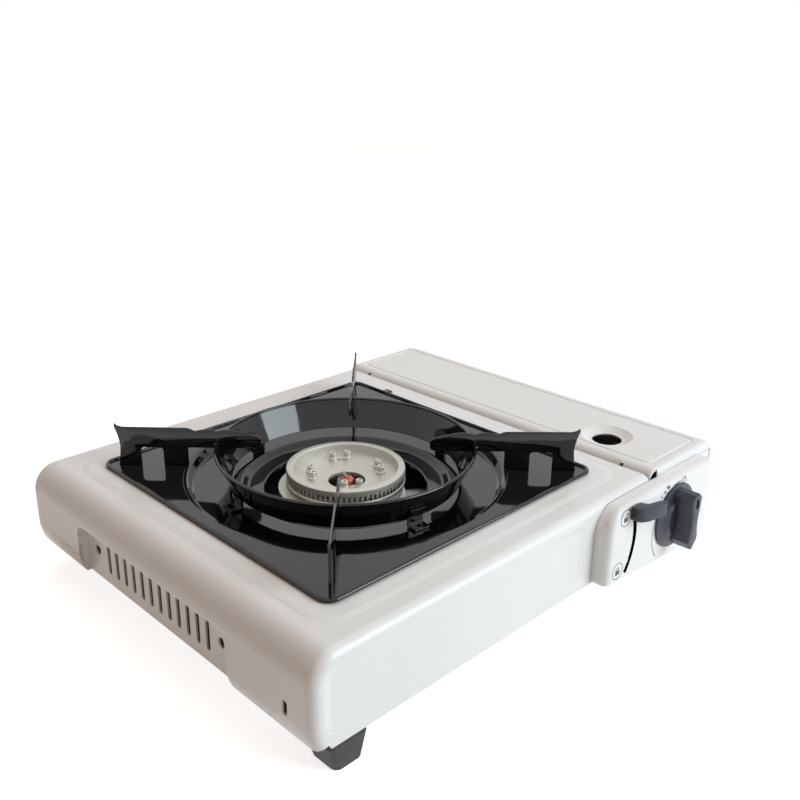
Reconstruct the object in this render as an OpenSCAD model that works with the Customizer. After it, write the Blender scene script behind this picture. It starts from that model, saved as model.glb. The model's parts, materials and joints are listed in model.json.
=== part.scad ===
// Butane cassette stove: enamelled steel housing with a canister bay, a lock
// lever, a rotary gas valve with piezo ignition and a lift-out pan support.
// Millimetres, +Z up, +Y to the back. The origin is at the middle of the
// floor area that the stove covers.

/* [Housing] */
// Width of the housing from side wall to side wall
body_w = 349; // [346:1:360]
// Depth of the housing from front face to back face
body_d = 274; // [272:1:284]
// Height of the side walls, from the bottom edge to the deck
body_h = 51; // [50:0.5:56]
// Height of the bottom edge above the floor
foot_h = 19.5; // [19:0.5:24]
// Thickness of the pressed steel
sheet = 1.2; // [1:0.1:1.4]
// Radius of the shoulder along the left side
shoulder_r = 16; // [12:1:18]
// Radius of the front and back edges
edge_r = 6; // [4:0.5:7]
// Distance from the left wall to the middle of the burner
pan_from_left = 141; // [139:1:143]
// Distance from the front face to the middle of the burner
pan_from_front = 135; // [133:1:138]

/* [Vents] */
// Number of slots in the left wall
vent_count = 12; // [8:1:13]
// Distance from one slot to the next
vent_pitch = 9.14; // [8:0.02:10]
// Width of a slot
vent_w = 3.5; // [3:0.1:4]
// Length of a slot
vent_len = 22; // [18:1:24]
// Depth of the recess that holds the slots
recess_depth = 6.5; // [5:0.5:8]

/* [Canister bay] */
// Width of the bay from the seam of the lid to the right wall
bay_w = 79; // [78:1:84]
// Diameter of the gas canister, the standard straight-necked kind
canister_d = 67; // [65:0.5:67.5]
// Length of the gas canister without its cap
canister_len = 185; // [180:1:186]
// Room round the canister in its trough
canister_gap = 0.7; // [0.5:0.1:1.2]
// Diameter of the sight hole in the lid
sight_d = 20.5; // [16:0.5:24]

/* [Drip pan] */
// Side of the square drip pan over its rolled rim
pan_side = 216; // [212:1:218]
// Corner radius of the drip pan
pan_corner = 8; // [6:1:12]
// Radius of the round well
well_r = 97; // [95:0.5:99]
// Radius of the hole round the burner
hole_r = 50; // [46:0.5:54]
// Thickness of the enamelled pan
pan_t = 0.8; // [0.6:0.1:1]

/* [Pan support] */
// Radius of the ring at its upper edge
ring_top_r = 79; // [77:0.5:81]
// Radius of the ring at its lower edge
ring_low_r = 70.5; // [69:0.5:73]
// Thickness of the ring
ring_t = 1.6; // [1.2:0.1:2]
// Thickness of an arm
arm_t = 1.4; // [1.2:0.1:2]
// Distance from the middle of the burner to the outer tip of an arm
arm_reach = 142; // [138:1:143]
// Height of the arms' top edge above the pan
arm_h = 25; // [22:0.5:30]

/* [Burner] */
// Radius of the burner head
head_r = 36.9; // [34:0.1:40]
// Number of flame slots round the head
flame_slots = 72; // [36:4:80]
// Radius on which the pairs of jets stand
jet_pcd_r = 21.2; // [19:0.2:23]
// Radius of the mixing tube
mix_r = 9.5; // [8:0.5:10]

/* [Controls] */
// Width of the control panel
panel_w = 117; // [112:1:119]
// Depth by which the control panel stands out of the housing
panel_d = 10.5; // [9:0.5:13]
// Radius of the knob's skirt
knob_r = 21; // [19:0.5:22]
// Height of the knob's grip in front of its skirt
grip_h = 12; // [9:0.5:16]
// Angle through which the knob turns
knob_turn = 130; // [90:5:150]
// Radius on which the lock lever swings
lever_r = 41; // [39:0.5:42]
// Angle through which the lock lever swings
lever_swing = 54; // [40:1:56]
// Travel of the igniter's plunger
plunger_travel = 4.5; // [3:0.5:5]
// Travel of the canister pusher
pusher_travel = 5; // [4:0.5:6]

/* [Hidden] */
CORNERS = ["front_left", "front_right", "rear_left", "rear_right"];
$fn = 64;
hull_fn = 32;
e = 0.01;
gap = 0.3;
pin_clear = 0.05;

// Main planes
left_x = -body_w / 2;
right_x = body_w / 2;
skirt_d = 1.5;
knob_reach = panel_d + skirt_d + grip_h + 1.5;
front_y = -(body_d - knob_reach) / 2;
back_y = front_y + body_d;
base_z = foot_h;
deck_z = base_z + body_h;
pan_x = left_x + pan_from_left;
pan_y = front_y + pan_from_front;
rim_z = deck_z + 1.9;

// Recess of the vents in the left wall
recess_w = 150;
recess_h = 34;
recess_top_z = deck_z - shoulder_r - 1.6;
vent_mid = 6.2;
vent_z = recess_top_z - 15.1;
end_hole_offset = 12.7;

// Left wall: it bends inwards over its lowest part
tuck_h = 14.5;
tuck_r = 30;
tuck_a = asin(tuck_h / tuck_r);
tuck_in = tuck_r - sqrt(tuck_r * tuck_r - tuck_h * tuck_h);
tuck_z = base_z + tuck_h;

// Plateau of the deck that carries the drip pan
plateau_side = pan_side + 19;
plateau_h = 0.5;
plateau_r = 14;
pan_opening = 2 * (well_r + 3);

// Rim and flat field of the drip pan, from the rim's height
bead_r = 1.15;
bead_z = 0.05;
field_top = -0.3;

// Lid and its hinge along the seam
seam_x = right_x - bay_w;
curl_r = 6.5;
lid_t = 1;
lid_z = deck_z + 2.5;
hinge_x = seam_x + curl_r;
hinge_z = lid_z - curl_r;
hinge_r = 1.5;
lug_r = 3.6;
lug_t = 2;
lid_shoulder_r = 12;
lid_edge_r = 3;
lid_lip = 6;
lid_skirt_z = base_z + 22;
lug_ys = [front_y + 22, back_y - 22];
right_wall_x = right_x - lid_t - 0.5;
right_wall_z = lid_skirt_z + 4;
bay_wall_z = lid_z - lid_lip - 0.4;

// Canister in its trough
can_r = canister_d / 2;
can_x = right_x - bay_w / 2 - 2.5;
can_z = lid_z - lid_t - canister_gap - can_r;
can_back_y = back_y - sheet - 12;
can_front_y = can_back_y - canister_len;
trough_r = can_r + canister_gap;
base_t = 1;
base_top_z = base_z + 2;

// Partition between burner and bay
partition_x = hinge_x - 4.5;
partition_t = 1;
partition_z = hinge_z - curl_r - gap;
edge_gap = 0.5;
field_depth = 0.8;
end_gap = sheet + field_depth + edge_gap + base_t + gap;

// Lever, in the plane behind the front wall
panel_x1 = right_x - 19;
panel_x0 = panel_x1 - panel_w;
pivot_x = panel_x0 - 15;
pivot_z = base_z + 26.9;
lever_rest_a = 23;
lever_t = 2;
lever_y = front_y + sheet + 9;
lever_pin_r = 3;
crank_r = 19;
crank_tip_r = crank_r + 5.2;
crank_pin_r = 1.8;
slot_w = 3.6;
stalk_r = 1.5;

// Push bar below the lever; its strip runs back along the partition
bar_t = 1.2;
bar_z = pivot_z - crank_tip_r * cos(lever_swing / 2) + 0.2;
bar_x0 = partition_x - 13.5;
bar_x1 = partition_x - 2.5;
pusher_y = can_back_y + pusher_travel + gap;

// Knob and valve
knob_x = seam_x + 13;
knob_z = base_z + 24.4;
stem_r = 3;
panel_y = front_y - panel_d;
skirt_y = panel_y - skirt_d;
cam_r0 = 6;
cam_y = front_y + sheet + 6;
cam_t = 4;
valve_y = cam_y + cam_t + 3;
plunger_r = 1.5;
plunger_gap = 0.5;
plunger_y = cam_y + cam_t / 2;
reg_r = 16;
boss_r = 8.5;
neck_r = 13;
neck_y = valve_y + 38;

// Control panel outline
panel_top_z = deck_z - 2.5;
panel_low_z = base_z - 1;
panel_drop = 8;
panel_wall = 1.5;
panel_edge = 4.5;
panel_screw_xz = [[panel_x0 + 41, panel_top_z - 7], [panel_x0 + 41, panel_low_z + 13],
                  [panel_x1 - 8, panel_top_z - 7], [panel_x1 - 8, panel_low_z + 13]];
screw_r = 1.5;
screw_head_r = 2.9;

// Feet: middle, half-sizes and screw of each, in the order of CORNERS
foot_w = 24;
foot_xy = [[left_x + 23, front_y + 12], [right_x - 14, front_y + 12],
           [left_x + 40, back_y - 12], [right_x - 14, back_y - 12]];
foot_out = [[-1, -1], [1, -1], [-1, 1], [1, 1]];
foot_screw_xy = [[left_x + 26, front_y + 15], [right_x - 14, front_y + 15],
                 [left_x + 42, back_y - 15], [right_x - 7.5, back_y - 15]];
bracket_x0 = partition_x + partition_t + 1;
bracket_w = can_x + reg_r + 4 - bracket_x0;
base_screw_xy = [[pan_x, pan_y - 38.5], [pan_x, pan_y + 38.5],
                 [bracket_x0 + 6, valve_y - 6.5], [bracket_x0 + bracket_w - 6, valve_y - 6.5]];

// Feed line from the valve to the burner, at feed_a to the X axis
throat_x = pan_x + 5;
throat_y = pan_y + 5;
feed_x = knob_x;
feed_y = valve_y + 22;
feed_z = knob_z - 3.5;
feed_a = atan2(throat_y - feed_y, throat_x - feed_x);
feed_len = sqrt((throat_x - feed_x) * (throat_x - feed_x) + (throat_y - feed_y) * (throat_y - feed_y));
feed_dir = [cos(feed_a), sin(feed_a)];
socket_s = feed_len - 37;
mouth_s = 46;
gas_r = 3;
inlet_r = 4.2;
inlet_depth = 8;
seal_r = 3.4;
seal_t = 1.7;

// Recessed field of the front face
field_w = panel_x0 - left_x - 18;
field_h = 36;
field_r = 7;
field_x = left_x + 8 + field_w / 2;
field_z = base_z + 7 + field_h / 2;

// Height of the ring at which the arms sit in it
arm_low_z = 12;

// Burner: heights are below the rim of the drip pan
bowl_top = -10;
bowl_low = -30;
bowl_r = 35.5;
bowl_wall = 2.4;
throat_r = mix_r + 1.5;
electrode_x = pan_x - 10.4;
electrode_y = pan_y - 12.5;
bowl_screw_xy = [[pan_x - 14, pan_y + 12], [pan_x - 1, pan_y - 17]];
head_t = 2;
head_low = -6.9;
rim_r = head_r - 4.7;

// Route of the ignition lead
lead_r = 1.2;
lead_bend = 7;
lead_z = base_top_z + 4;
lead_x = pivot_x + lever_r + 10;
lead_y = plunger_y + 17;

steel = [0.62, 0.62, 0.60];
enamel_white = [0.93, 0.92, 0.88];
enamel_black = [0.05, 0.05, 0.06];
alu = [0.78, 0.77, 0.74];
plastic_dark = [0.20, 0.22, 0.26];
foot_dark = [0.09, 0.10, 0.14];
brass = [0.78, 0.62, 0.30];
ceramic_orange = [0.85, 0.35, 0.22];

// A quarter of a round strip from angle a0 over angle a, in the XY plane
module quarter_ring(r, t) {
    intersection() {
        difference() {
            circle(r);
            circle(r - t);
        }
        square(r + 1);
    }
}

// Square with round corners, centred
module round_square(w, d, r) {
    square([w - 2 * r, d], center = true);
    square([w, d - 2 * r], center = true);
    for (x = [-1, 1], y = [-1, 1])
        translate([x * (w / 2 - r), y * (d / 2 - r)])
            circle(r);
}

// Sweeps a profile round a rounded rectangle; x = 0 lies on its outline
module around(w, d, r) {
    for (i = [0:3]) {
        cw = i % 2 == 0 ? w : d;
        cd = i % 2 == 0 ? d : w;
        rotate(90 * i) {
            translate([cw / 2 - r, cd / 2 - r])
                rotate_extrude(angle = 90)
                    translate([r, 0])
                        children();
            translate([cw / 2, cd / 2 - r])
                rotate([90, 0, 0])
                    linear_extrude(cd - 2 * r)
                        children();
        }
    }
}

// Stands a profile drawn in X and Z up, from y0 to y1
module along_y(y0, y1) {
    translate([0, y1, 0])
        rotate([90, 0, 0])
            linear_extrude(y1 - y0)
                children();
}

// Turns a profile (x = radius, y = depth) about an axis along Y
module about_y(x, z, a0, a) {
    translate([x, 0, z])
        rotate([-90, 0, 0])
            rotate_extrude(angle = a, start = -a0 - a)
                children();
}

// Filled cross-section of the housing left of the seam, smaller by i
module body_section(i) {
    top = deck_z - i;
    translate([left_x + shoulder_r, base_z])
        square([seam_x - left_x - shoulder_r, top - base_z]);
    translate([left_x + i, tuck_z])
        square([shoulder_r, deck_z - shoulder_r - tuck_z]);
    translate([left_x + shoulder_r, deck_z - shoulder_r])
        circle(shoulder_r - i);
    intersection() {
        translate([left_x + tuck_r, tuck_z])
            circle(tuck_r - i);
        translate([left_x, base_z])
            square([tuck_r, tuck_h + e]);
    }
}

// Rounded edge of the housing with its end wall, facing -Y at y = 0
module housing_end() {
    module rim(r) {
        translate([r - edge_r, edge_r])
            mirror([0, 1])
                quarter_ring(edge_r, sheet);
    }
    // left wall
    translate([left_x + edge_r, edge_r, tuck_z])
        mirror([1, 0, 0])
            mirror([0, 1, 0])
                linear_extrude(deck_z - shoulder_r - tuck_z)
                    quarter_ring(edge_r, sheet);
    // shoulder and tucked part
    about_y(left_x + shoulder_r, deck_z - shoulder_r, 90, 90)
        rim(shoulder_r);
    about_y(left_x + tuck_r, tuck_z, 180, tuck_a)
        rim(tuck_r);
    // deck edge
    translate([left_x + shoulder_r, edge_r, deck_z - edge_r])
        rotate([0, 90, 0])
            rotate(180)
                linear_extrude(seam_x - left_x - shoulder_r)
                    quarter_ring(edge_r, sheet);
    // right corner post
    translate([right_wall_x - edge_r, edge_r, base_z])
        mirror([0, 1, 0])
            linear_extrude(right_wall_z - base_z)
                quarter_ring(edge_r, sheet);
    // end wall
    along_y(0, sheet) {
        body_section(edge_r);
        translate([seam_x, base_z])
            square([right_wall_x - edge_r - seam_x, bay_wall_z - base_z]);
    }
}

// Filled block of the vent recess, larger by i
module recess_block(i) {
    y_mid = pan_y + vent_mid;
    translate([left_x + recess_depth + i, y_mid, recess_top_z + i])
        rotate([0, -90, 0])
            linear_extrude(recess_depth + 2 * i + 5)
                translate([-recess_h - i, -recess_w / 2 - i])
                    intersection() {
                        translate([(recess_h + i) / 2 - 20 + i / 2, recess_w / 2 + i])
                            round_square(recess_h + i + 40, recess_w + 2 * i, 8 + i);
                        square([recess_h + i, recess_w + 2 * i]);
                    }
}

module housing() {
    color(enamel_white) {
        difference() {
            union() {
                difference() {
                    union() {
                        along_y(front_y + edge_r, back_y - edge_r)
                            difference() {
                                body_section(0);
                                body_section(sheet);
                                translate([seam_x - 5, base_z - 1])
                                    square([10, body_h + 1 - sheet]);
                            }
                        translate([0, front_y, 0])
                            housing_end();
                        translate([0, back_y, 0])
                            mirror([0, 1, 0])
                                housing_end();
                        // low right wall
                        translate([right_wall_x - sheet, front_y + edge_r, base_z])
                            cube([sheet, body_d - 2 * edge_r, right_wall_z - base_z]);
                        // plateau round the drip pan
                        translate([pan_x, pan_y, deck_z - e])
                            linear_extrude(plateau_h + e)
                                round_square(plateau_side, plateau_side, plateau_r);
                        // turned-down edge along the seam
                        translate([seam_x - 1 - sheet, front_y + edge_r, deck_z - 7])
                            cube([sheet, body_d - 2 * edge_r, 7 - sheet / 2]);
                    }
                    // opening under the drip pan
                    translate([pan_x, pan_y, deck_z - sheet - 1])
                        linear_extrude(sheet + plateau_h + 2)
                            round_square(pan_opening, pan_opening, plateau_r);
                    // gap between deck and lid
                    translate([seam_x - 1, front_y - 1, deck_z - 8])
                        cube([3, body_d + 2, 10]);
                    recess_block(0);
                    // recessed field of the front face
                    translate([field_x, front_y + field_depth, field_z])
                        rotate([90, 0, 0])
                            linear_extrude(field_depth + 1)
                                round_square(field_w, field_h, field_r);
                }
                // lining of the vent recess
                intersection() {
                    difference() {
                        recess_block(sheet);
                        recess_block(0);
                    }
                    along_y(front_y + edge_r, back_y - edge_r)
                        body_section(0);
                }
                // backing of the recessed field
                translate([field_x, front_y + sheet + field_depth, field_z])
                    rotate([90, 0, 0])
                        linear_extrude(sheet)
                            round_square(field_w + 2, field_h + 2, field_r + 1);
            }
            // vent slots and the round holes beside them
            for (i = [0:vent_count - 1])
                translate([left_x - 1, pan_y + vent_mid + (i - (vent_count - 1) / 2) * vent_pitch, vent_z])
                    rotate([90, 0, 90])
                        linear_extrude(recess_depth + sheet + 2)
                            round_square(vent_w, vent_len, vent_w / 2 - e);
            for (s = [-1, 1])
                translate([left_x - 1, vent_mid + pan_y
                           + s * ((vent_count - 1) / 2 * vent_pitch + end_hole_offset), vent_z])
                    rotate([0, 90, 0])
                        cylinder(r = 3, h = recess_depth + sheet + 2);
            // handling slot near the front of the left wall
            translate([left_x - 1, pan_y - 115, rim_z - 36])
                rotate([90, 0, 90])
                    linear_extrude(tuck_in + sheet + 3)
                        round_square(3.5, 8, 1.7);
            // slot for the drip pan's catch
            translate([pan_x + pan_side / 2 + 5.5, pan_y + 78, deck_z - 3])
                linear_extrude(6)
                    square([2.6, 7], center = true);
            // window for the lock lever
            translate([pivot_x + lever_r - 10, front_y - 1, pivot_z - 24])
                cube([14, sheet + 4, 44]);
            // window for the valve stem
            translate([knob_x, front_y - 1, knob_z])
                rotate([-90, 0, 0])
                    cylinder(r = stem_r + 2, h = sheet + 4);
            // holes for the screws of the control panel
            for (p = panel_screw_xz)
                translate([p[0], front_y - 1, p[1]])
                    rotate([-90, 0, 0])
                        cylinder(r = screw_r + pin_clear, h = sheet + 4);
        }
    }
}

// Sheet that closes the bottom, with a trough for the canister
module base_plate() {
    x0 = left_x + recess_depth + sheet + edge_gap;
    x1 = right_wall_x - sheet - edge_gap;
    y0 = front_y + sheet + field_depth + edge_gap;
    y1 = back_y - sheet - edge_gap;
    z0 = base_top_z - base_t;
    edge_h = 2.9;
    trough_x0 = can_x - trough_r - base_t;
    trough_y0 = can_front_y - 39.6;
    trough_y1 = back_y - 8;
    color(steel) {
        difference() {
            union() {
                translate([(x0 + x1) / 2, (y0 + y1) / 2, z0])
                    linear_extrude(base_t)
                        round_square(x1 - x0 - base_t, y1 - y0 - base_t, edge_r - base_t / 2);
                translate([(x0 + x1) / 2, (y0 + y1) / 2, z0])
                    around(x1 - x0, y1 - y0, edge_r)
                        translate([-base_t, 0])
                            square([base_t, edge_h]);
                // trough
                along_y(trough_y0, trough_y1)
                    intersection() {
                        translate([can_x, can_z])
                            circle(trough_r + base_t);
                        translate([trough_x0, 0])
                            square([2 * (trough_r + base_t), z0 + base_t]);
                    }
            }
            // inside of the trough
            along_y(trough_y0 + base_t, trough_y1 - base_t)
                translate([can_x, can_z])
                    circle(trough_r);
            // air slots under the burner
            for (i = [0:7])
                rotate_about(pan_x, pan_y, 45 * i + 22.5)
                    translate([pan_x + 64, pan_y, z0 - 1])
                        linear_extrude(base_t + 2)
                            round_square(5, 30, 2.4);
            for (p = concat(foot_screw_xy, base_screw_xy))
                translate([p[0], p[1], z0 - 1])
                    cylinder(r = screw_r + pin_clear, h = base_t + 2);
        }
        // stiffening bead round the air slots
        translate([pan_x, pan_y, base_top_z - e])
            rotate_extrude()
                polygon([[76, 0], [78, 1.2], [82, 1.2], [84, 0]]);
    }
}

// Turns its children by a about the vertical line through x, y
module rotate_about(x, y, a) {
    translate([x, y, 0])
        rotate(a)
            translate([-x, -y, 0])
                children();
}

// Lug with a bore round the hinge axis, standing on z_far or hanging from it
module hinge_lug(y, t, z_far, bore) {
    low = min(z_far, hinge_z);
    along_y(y - t / 2, y + t / 2)
        difference() {
            union() {
                translate([hinge_x, hinge_z])
                    circle(lug_r);
                translate([hinge_x - lug_r, low])
                    square([2 * lug_r, abs(hinge_z - z_far)]);
            }
            translate([hinge_x, hinge_z])
                circle(bore);
        }
}

// Heat shield between burner and canister, with the lugs of the lid's hinge
module partition() {
    color(steel)
        difference() {
            union() {
                translate([partition_x, front_y + end_gap, base_top_z])
                    cube([partition_t, body_d - 2 * end_gap, partition_z - base_top_z]);
                // foot flange on the base plate
                translate([partition_x - 8, front_y + 24, base_top_z])
                    cube([8 + e, body_d - 60, partition_t]);
                for (y = lug_ys) {
                    hinge_lug(y, lug_t, partition_z - 2, hinge_r + pin_clear);
                    translate([partition_x, y - lug_t / 2, partition_z - 6])
                        cube([hinge_x + lug_r - partition_x, lug_t, 6]);
                }
            }
            // ways through for the outlet of the valve, the cam and the push bar
            translate([feed_x, feed_y, feed_z])
                rotate([0, 90, feed_a])
                    cylinder(r = 7, h = 30);
            translate([partition_x - 1, cam_y - 1, knob_z - 6])
                cube([partition_t + 2, cam_t + 2, 12]);
            translate([partition_x - 1, pusher_y - pusher_travel - 1, base_top_z - 1])
                cube([partition_t + 2, 20, 12]);
            // cooling holes along the upper edge
            for (i = [0:9])
                translate([partition_x - 1, pan_y - 40 + 14 * i, partition_z - 8])
                    rotate([0, 90, 0])
                        cylinder(r = 2.5, h = partition_t + 2);
        }
}

// Filled block of the control panel up to y1, smaller by i
module panel_block(i, y1) {
    module corner(x, z, r) {
        depth = y1 - panel_y - i;
        translate([x, panel_y + i, z])
            rotate([-90, 0, 0])
                rotate_extrude($fn = hull_fn)
                    intersection() {
                        union() {
                            translate([r - panel_edge, panel_edge - i])
                                circle(panel_edge - i);
                            square([r - panel_edge, depth]);
                            translate([0, panel_edge - i])
                                square([r - i, depth - panel_edge + i]);
                        }
                        square([r, depth]);
                    }
    }
    hull() {
        corner(panel_x0 + 14, panel_top_z - 14, 14);
        corner(panel_x1 - 5, panel_top_z - 5, 5);
        corner(panel_x0 + 5, panel_low_z + 5, 5);
        corner(panel_x1 - 12, panel_low_z - panel_drop + 12, 12);
    }
}

// Slot in which the lock lever swings, as a cutter
module lever_slot(w, y0, y1) {
    a_low = lever_rest_a - lever_swing;
    a_add = asin((slot_w / 2 + 0.3) / lever_r);
    translate([pivot_x, y0, pivot_z])
        rotate([-90, 0, 0])
            rotate_extrude(angle = lever_swing + 2 * a_add, start = -lever_rest_a - a_add)
                translate([lever_r - w / 2, 0])
                    square([w, y1 - y0]);
}

// Boxed front of the canister bay that carries knob and lever
module control_panel() {
    color(enamel_white)
        difference() {
            union() {
                difference() {
                    panel_block(0, front_y);
                    panel_block(panel_wall, front_y + 1);
                }
                for (p = panel_screw_xz)
                    translate([p[0], panel_y + panel_wall - e, p[1]])
                        rotate([-90, 0, 0])
                            cylinder(r = screw_r + 2, h = panel_d - panel_wall);
            }
            for (p = panel_screw_xz)
                translate([p[0], panel_y + panel_wall + 1, p[1]])
                    rotate([-90, 0, 0])
                        cylinder(r = screw_r + pin_clear, h = panel_d);
            lever_slot(slot_w, panel_y - 1, panel_y + 4);
            translate([knob_x, panel_y - 1, knob_z])
                rotate([-90, 0, 0])
                    cylinder(r = stem_r + 1.5, h = 5);
        }
}

// Filled cross-section of the lid, smaller by i; it is open below
module lid_section(i) {
    intersection() {
        union() {
            translate([hinge_x, lid_skirt_z])
                square([right_x - lid_shoulder_r - hinge_x, lid_z - i - lid_skirt_z]);
            translate([right_x - lid_shoulder_r - 1, lid_skirt_z])
                square([lid_shoulder_r + 1 - i, lid_z - lid_shoulder_r - lid_skirt_z]);
            translate([right_x - lid_shoulder_r, lid_z - lid_shoulder_r])
                circle(lid_shoulder_r - i);
            intersection() {
                translate([hinge_x, hinge_z])
                    circle(curl_r - i);
                translate([hinge_x - curl_r, hinge_z])
                    square([curl_r + 1, curl_r]);
            }
        }
        translate([hinge_x - curl_r, lid_skirt_z])
            square([right_x - hinge_x + curl_r, lid_z - lid_skirt_z]);
    }
}

// Rounded edge and lip at one end of the lid, facing -Y at y = 0
module lid_end() {
    module rim(r) {
        translate([r - lid_edge_r, lid_edge_r])
            mirror([0, 1])
                quarter_ring(lid_edge_r, lid_t);
    }
    translate([hinge_x, lid_edge_r, lid_z - lid_edge_r])
        rotate([0, 90, 0])
            rotate(180)
                linear_extrude(right_x - lid_shoulder_r - hinge_x)
                    quarter_ring(lid_edge_r, lid_t);
    about_y(hinge_x, hinge_z, 90, 90)
        rim(curl_r);
    about_y(right_x - lid_shoulder_r, lid_z - lid_shoulder_r, 0, 90)
        rim(lid_shoulder_r);
    translate([right_x - lid_edge_r, lid_edge_r, lid_skirt_z])
        mirror([0, 1, 0])
            linear_extrude(lid_z - lid_shoulder_r - lid_skirt_z)
                quarter_ring(lid_edge_r, lid_t);
    along_y(0, lid_t)
        difference() {
            lid_section(lid_edge_r);
            translate([hinge_x - curl_r, lid_skirt_z - 1])
                square([right_x - lid_lip - hinge_x + curl_r, lid_z - lid_lip - lid_skirt_z + 1]);
            translate([right_x - lid_lip - 1, lid_skirt_z - 1])
                square([lid_lip + 1, right_wall_z + gap - lid_skirt_z + 1]);
        }
}

module lid() {
    y0 = front_y + 0.2;
    y1 = back_y - 0.2;
    sight_y = pan_y - 84;
    sight_x = pan_x + 158;
    dish_r = sight_d / 2 + 6.5;
    dish_h = 2.5;
    color(enamel_white)
        difference() {
            union() {
                difference() {
                    union() {
                        along_y(y0 + lid_edge_r, y1 - lid_edge_r)
                            difference() {
                                lid_section(0);
                                lid_section(lid_t);
                                translate([right_x - lid_t - 5, lid_skirt_z - 1])
                                    square([5, 1]);
                            }
                        translate([0, y0, 0])
                            lid_end();
                        translate([0, y1, 0])
                            mirror([0, 1, 0])
                                lid_end();
                    }
                    translate([sight_x, sight_y, lid_z - 5])
                        cylinder(r = dish_r, h = 10);
                    // the curl ends inside the housing's end walls, so that it can turn there
                    for (y = [front_y - 1, back_y - sheet - gap])
                        translate([seam_x - 1, y, hinge_z - 1])
                            cube([curl_r + 2, sheet + gap + 1, curl_r + 2]);
                    // notches in the curl that clear the partition's lugs
                    for (y = lug_ys)
                        translate([seam_x - 1, y - lug_t / 2 - gap, hinge_z - 1])
                            cube([curl_r + 1, lug_t + 2 * gap, curl_r + 1 - lid_t - 0.7]);
                }
                // dish round the sight hole
                translate([sight_x, sight_y, lid_z])
                    rotate_extrude()
                        polygon([[dish_r + 0.4, 0], [sight_d / 2 + 1.5, -dish_h], [sight_d / 2 - 0.5, -dish_h - 0.3],
                                 [sight_d / 2 - 0.5, -dish_h - lid_t - 0.3],
                                 [sight_d / 2 + 1.5, -dish_h - lid_t], [dish_r + 0.4, -lid_t]]);
                // lugs of the hinge, beside those of the partition
                for (s = [0, 1])
                    hinge_lug(lug_ys[s] + (1 - 2 * s) * (lug_t + gap), lug_t, lid_z - lid_t / 2,
                              hinge_r + pin_clear);
            }
            // groove along the border of the flat top
            translate([(hinge_x + right_x - lid_shoulder_r) / 2, (y0 + y1) / 2, lid_z])
                around(right_x - lid_shoulder_r - hinge_x - 4, y1 - y0 - 12, 5)
                    polygon([[-3, 0.5], [0, 0.5], [0, 0], [-0.7, -0.5], [-2.3, -0.5], [-3, 0]]);
        }
}

// Two headed pins on which the lid turns
module hinge_pins() {
    color(steel)
        for (s = [0, 1]) {
            d = 1 - 2 * s;
            translate([hinge_x, lug_ys[s] - d * (lug_t / 2 + gap), hinge_z])
                rotate([-90 * d, 0, 0]) {
                    cylinder(r = hinge_r, h = 2 * lug_t + 3 * gap + 2);
                    translate([0, 0, -1])
                        cylinder(r = hinge_r + 1, h = 1);
                }
        }
}

// Enamelled pan with a rolled rim, a stepped well and a hole for the burner
module drip_pan() {
    floor_r = well_r - 3.5;
    step_r = 64;
    ledge_r = 60.5;
    top = [[well_r + 3, field_top], [well_r, -0.6], [well_r - 1, -1.4], [floor_r + 0.7, -5.6], [floor_r - 0.6, -6.6],
           [step_r + 1, -8], [step_r - 0.5, -8.6], [ledge_r + 0.5, -10.6], [ledge_r - 1, -11.1],
           [hole_r + 1, -11.4], [hole_r, -12], [hole_r, -13.4]];
    n = len(top);
    low = [for (i = [n - 1:-1:0]) [top[i][0] + (i > n - 3 ? pan_t : 0.5), top[i][1] - (i == n - 1 ? 0 : pan_t)]];
    color(enamel_black)
        translate([pan_x, pan_y, rim_z]) {
            difference() {
                translate([0, 0, field_top - pan_t])
                    linear_extrude(pan_t)
                        round_square(pan_side - 3, pan_side - 3, pan_corner - 1.5);
                translate([0, 0, -3])
                    cylinder(r = well_r + 2, h = 6);
            }
            rotate_extrude($fn = 96)
                polygon(concat(top, low));
            // rolled rim
            around(pan_side, pan_side, pan_corner)
                translate([-bead_r, bead_z])
                    circle(bead_r);
            // catch that drops into the deck
            translate([pan_side / 2 - 1.5, 75.5, -1])
                cube([7.5, 5, 0.7]);
            translate([pan_side / 2 + 4.8, 75.5, -4.4])
                cube([1.2, 5, 4.1]);
        }
}

// Conical band that ties the four arms together
module support_ring() {
    ring_low_z = -3.4;
    ring_top_z = 14.2;
    bead = ring_t / 2 + 0.25;
    color(enamel_black)
        translate([pan_x, pan_y, rim_z])
            difference() {
                rotate_extrude($fn = 96) {
                    polygon([[ring_low_r - ring_t / 2, ring_low_z], [ring_low_r + ring_t / 2, ring_low_z],
                             [ring_top_r + ring_t / 2, ring_top_z], [ring_top_r - ring_t / 2, ring_top_z]]);
                    translate([ring_top_r, ring_top_z])
                        circle(bead);
                }
                // slots in which the arms sit
                for (i = [0:3])
                    rotate(45 + 90 * i)
                        translate([ring_top_r - 5, -arm_t / 2 - pin_clear, arm_low_z - 0.6])
                            cube([10, arm_t + 2 * pin_clear, 6]);
            }
}

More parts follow.
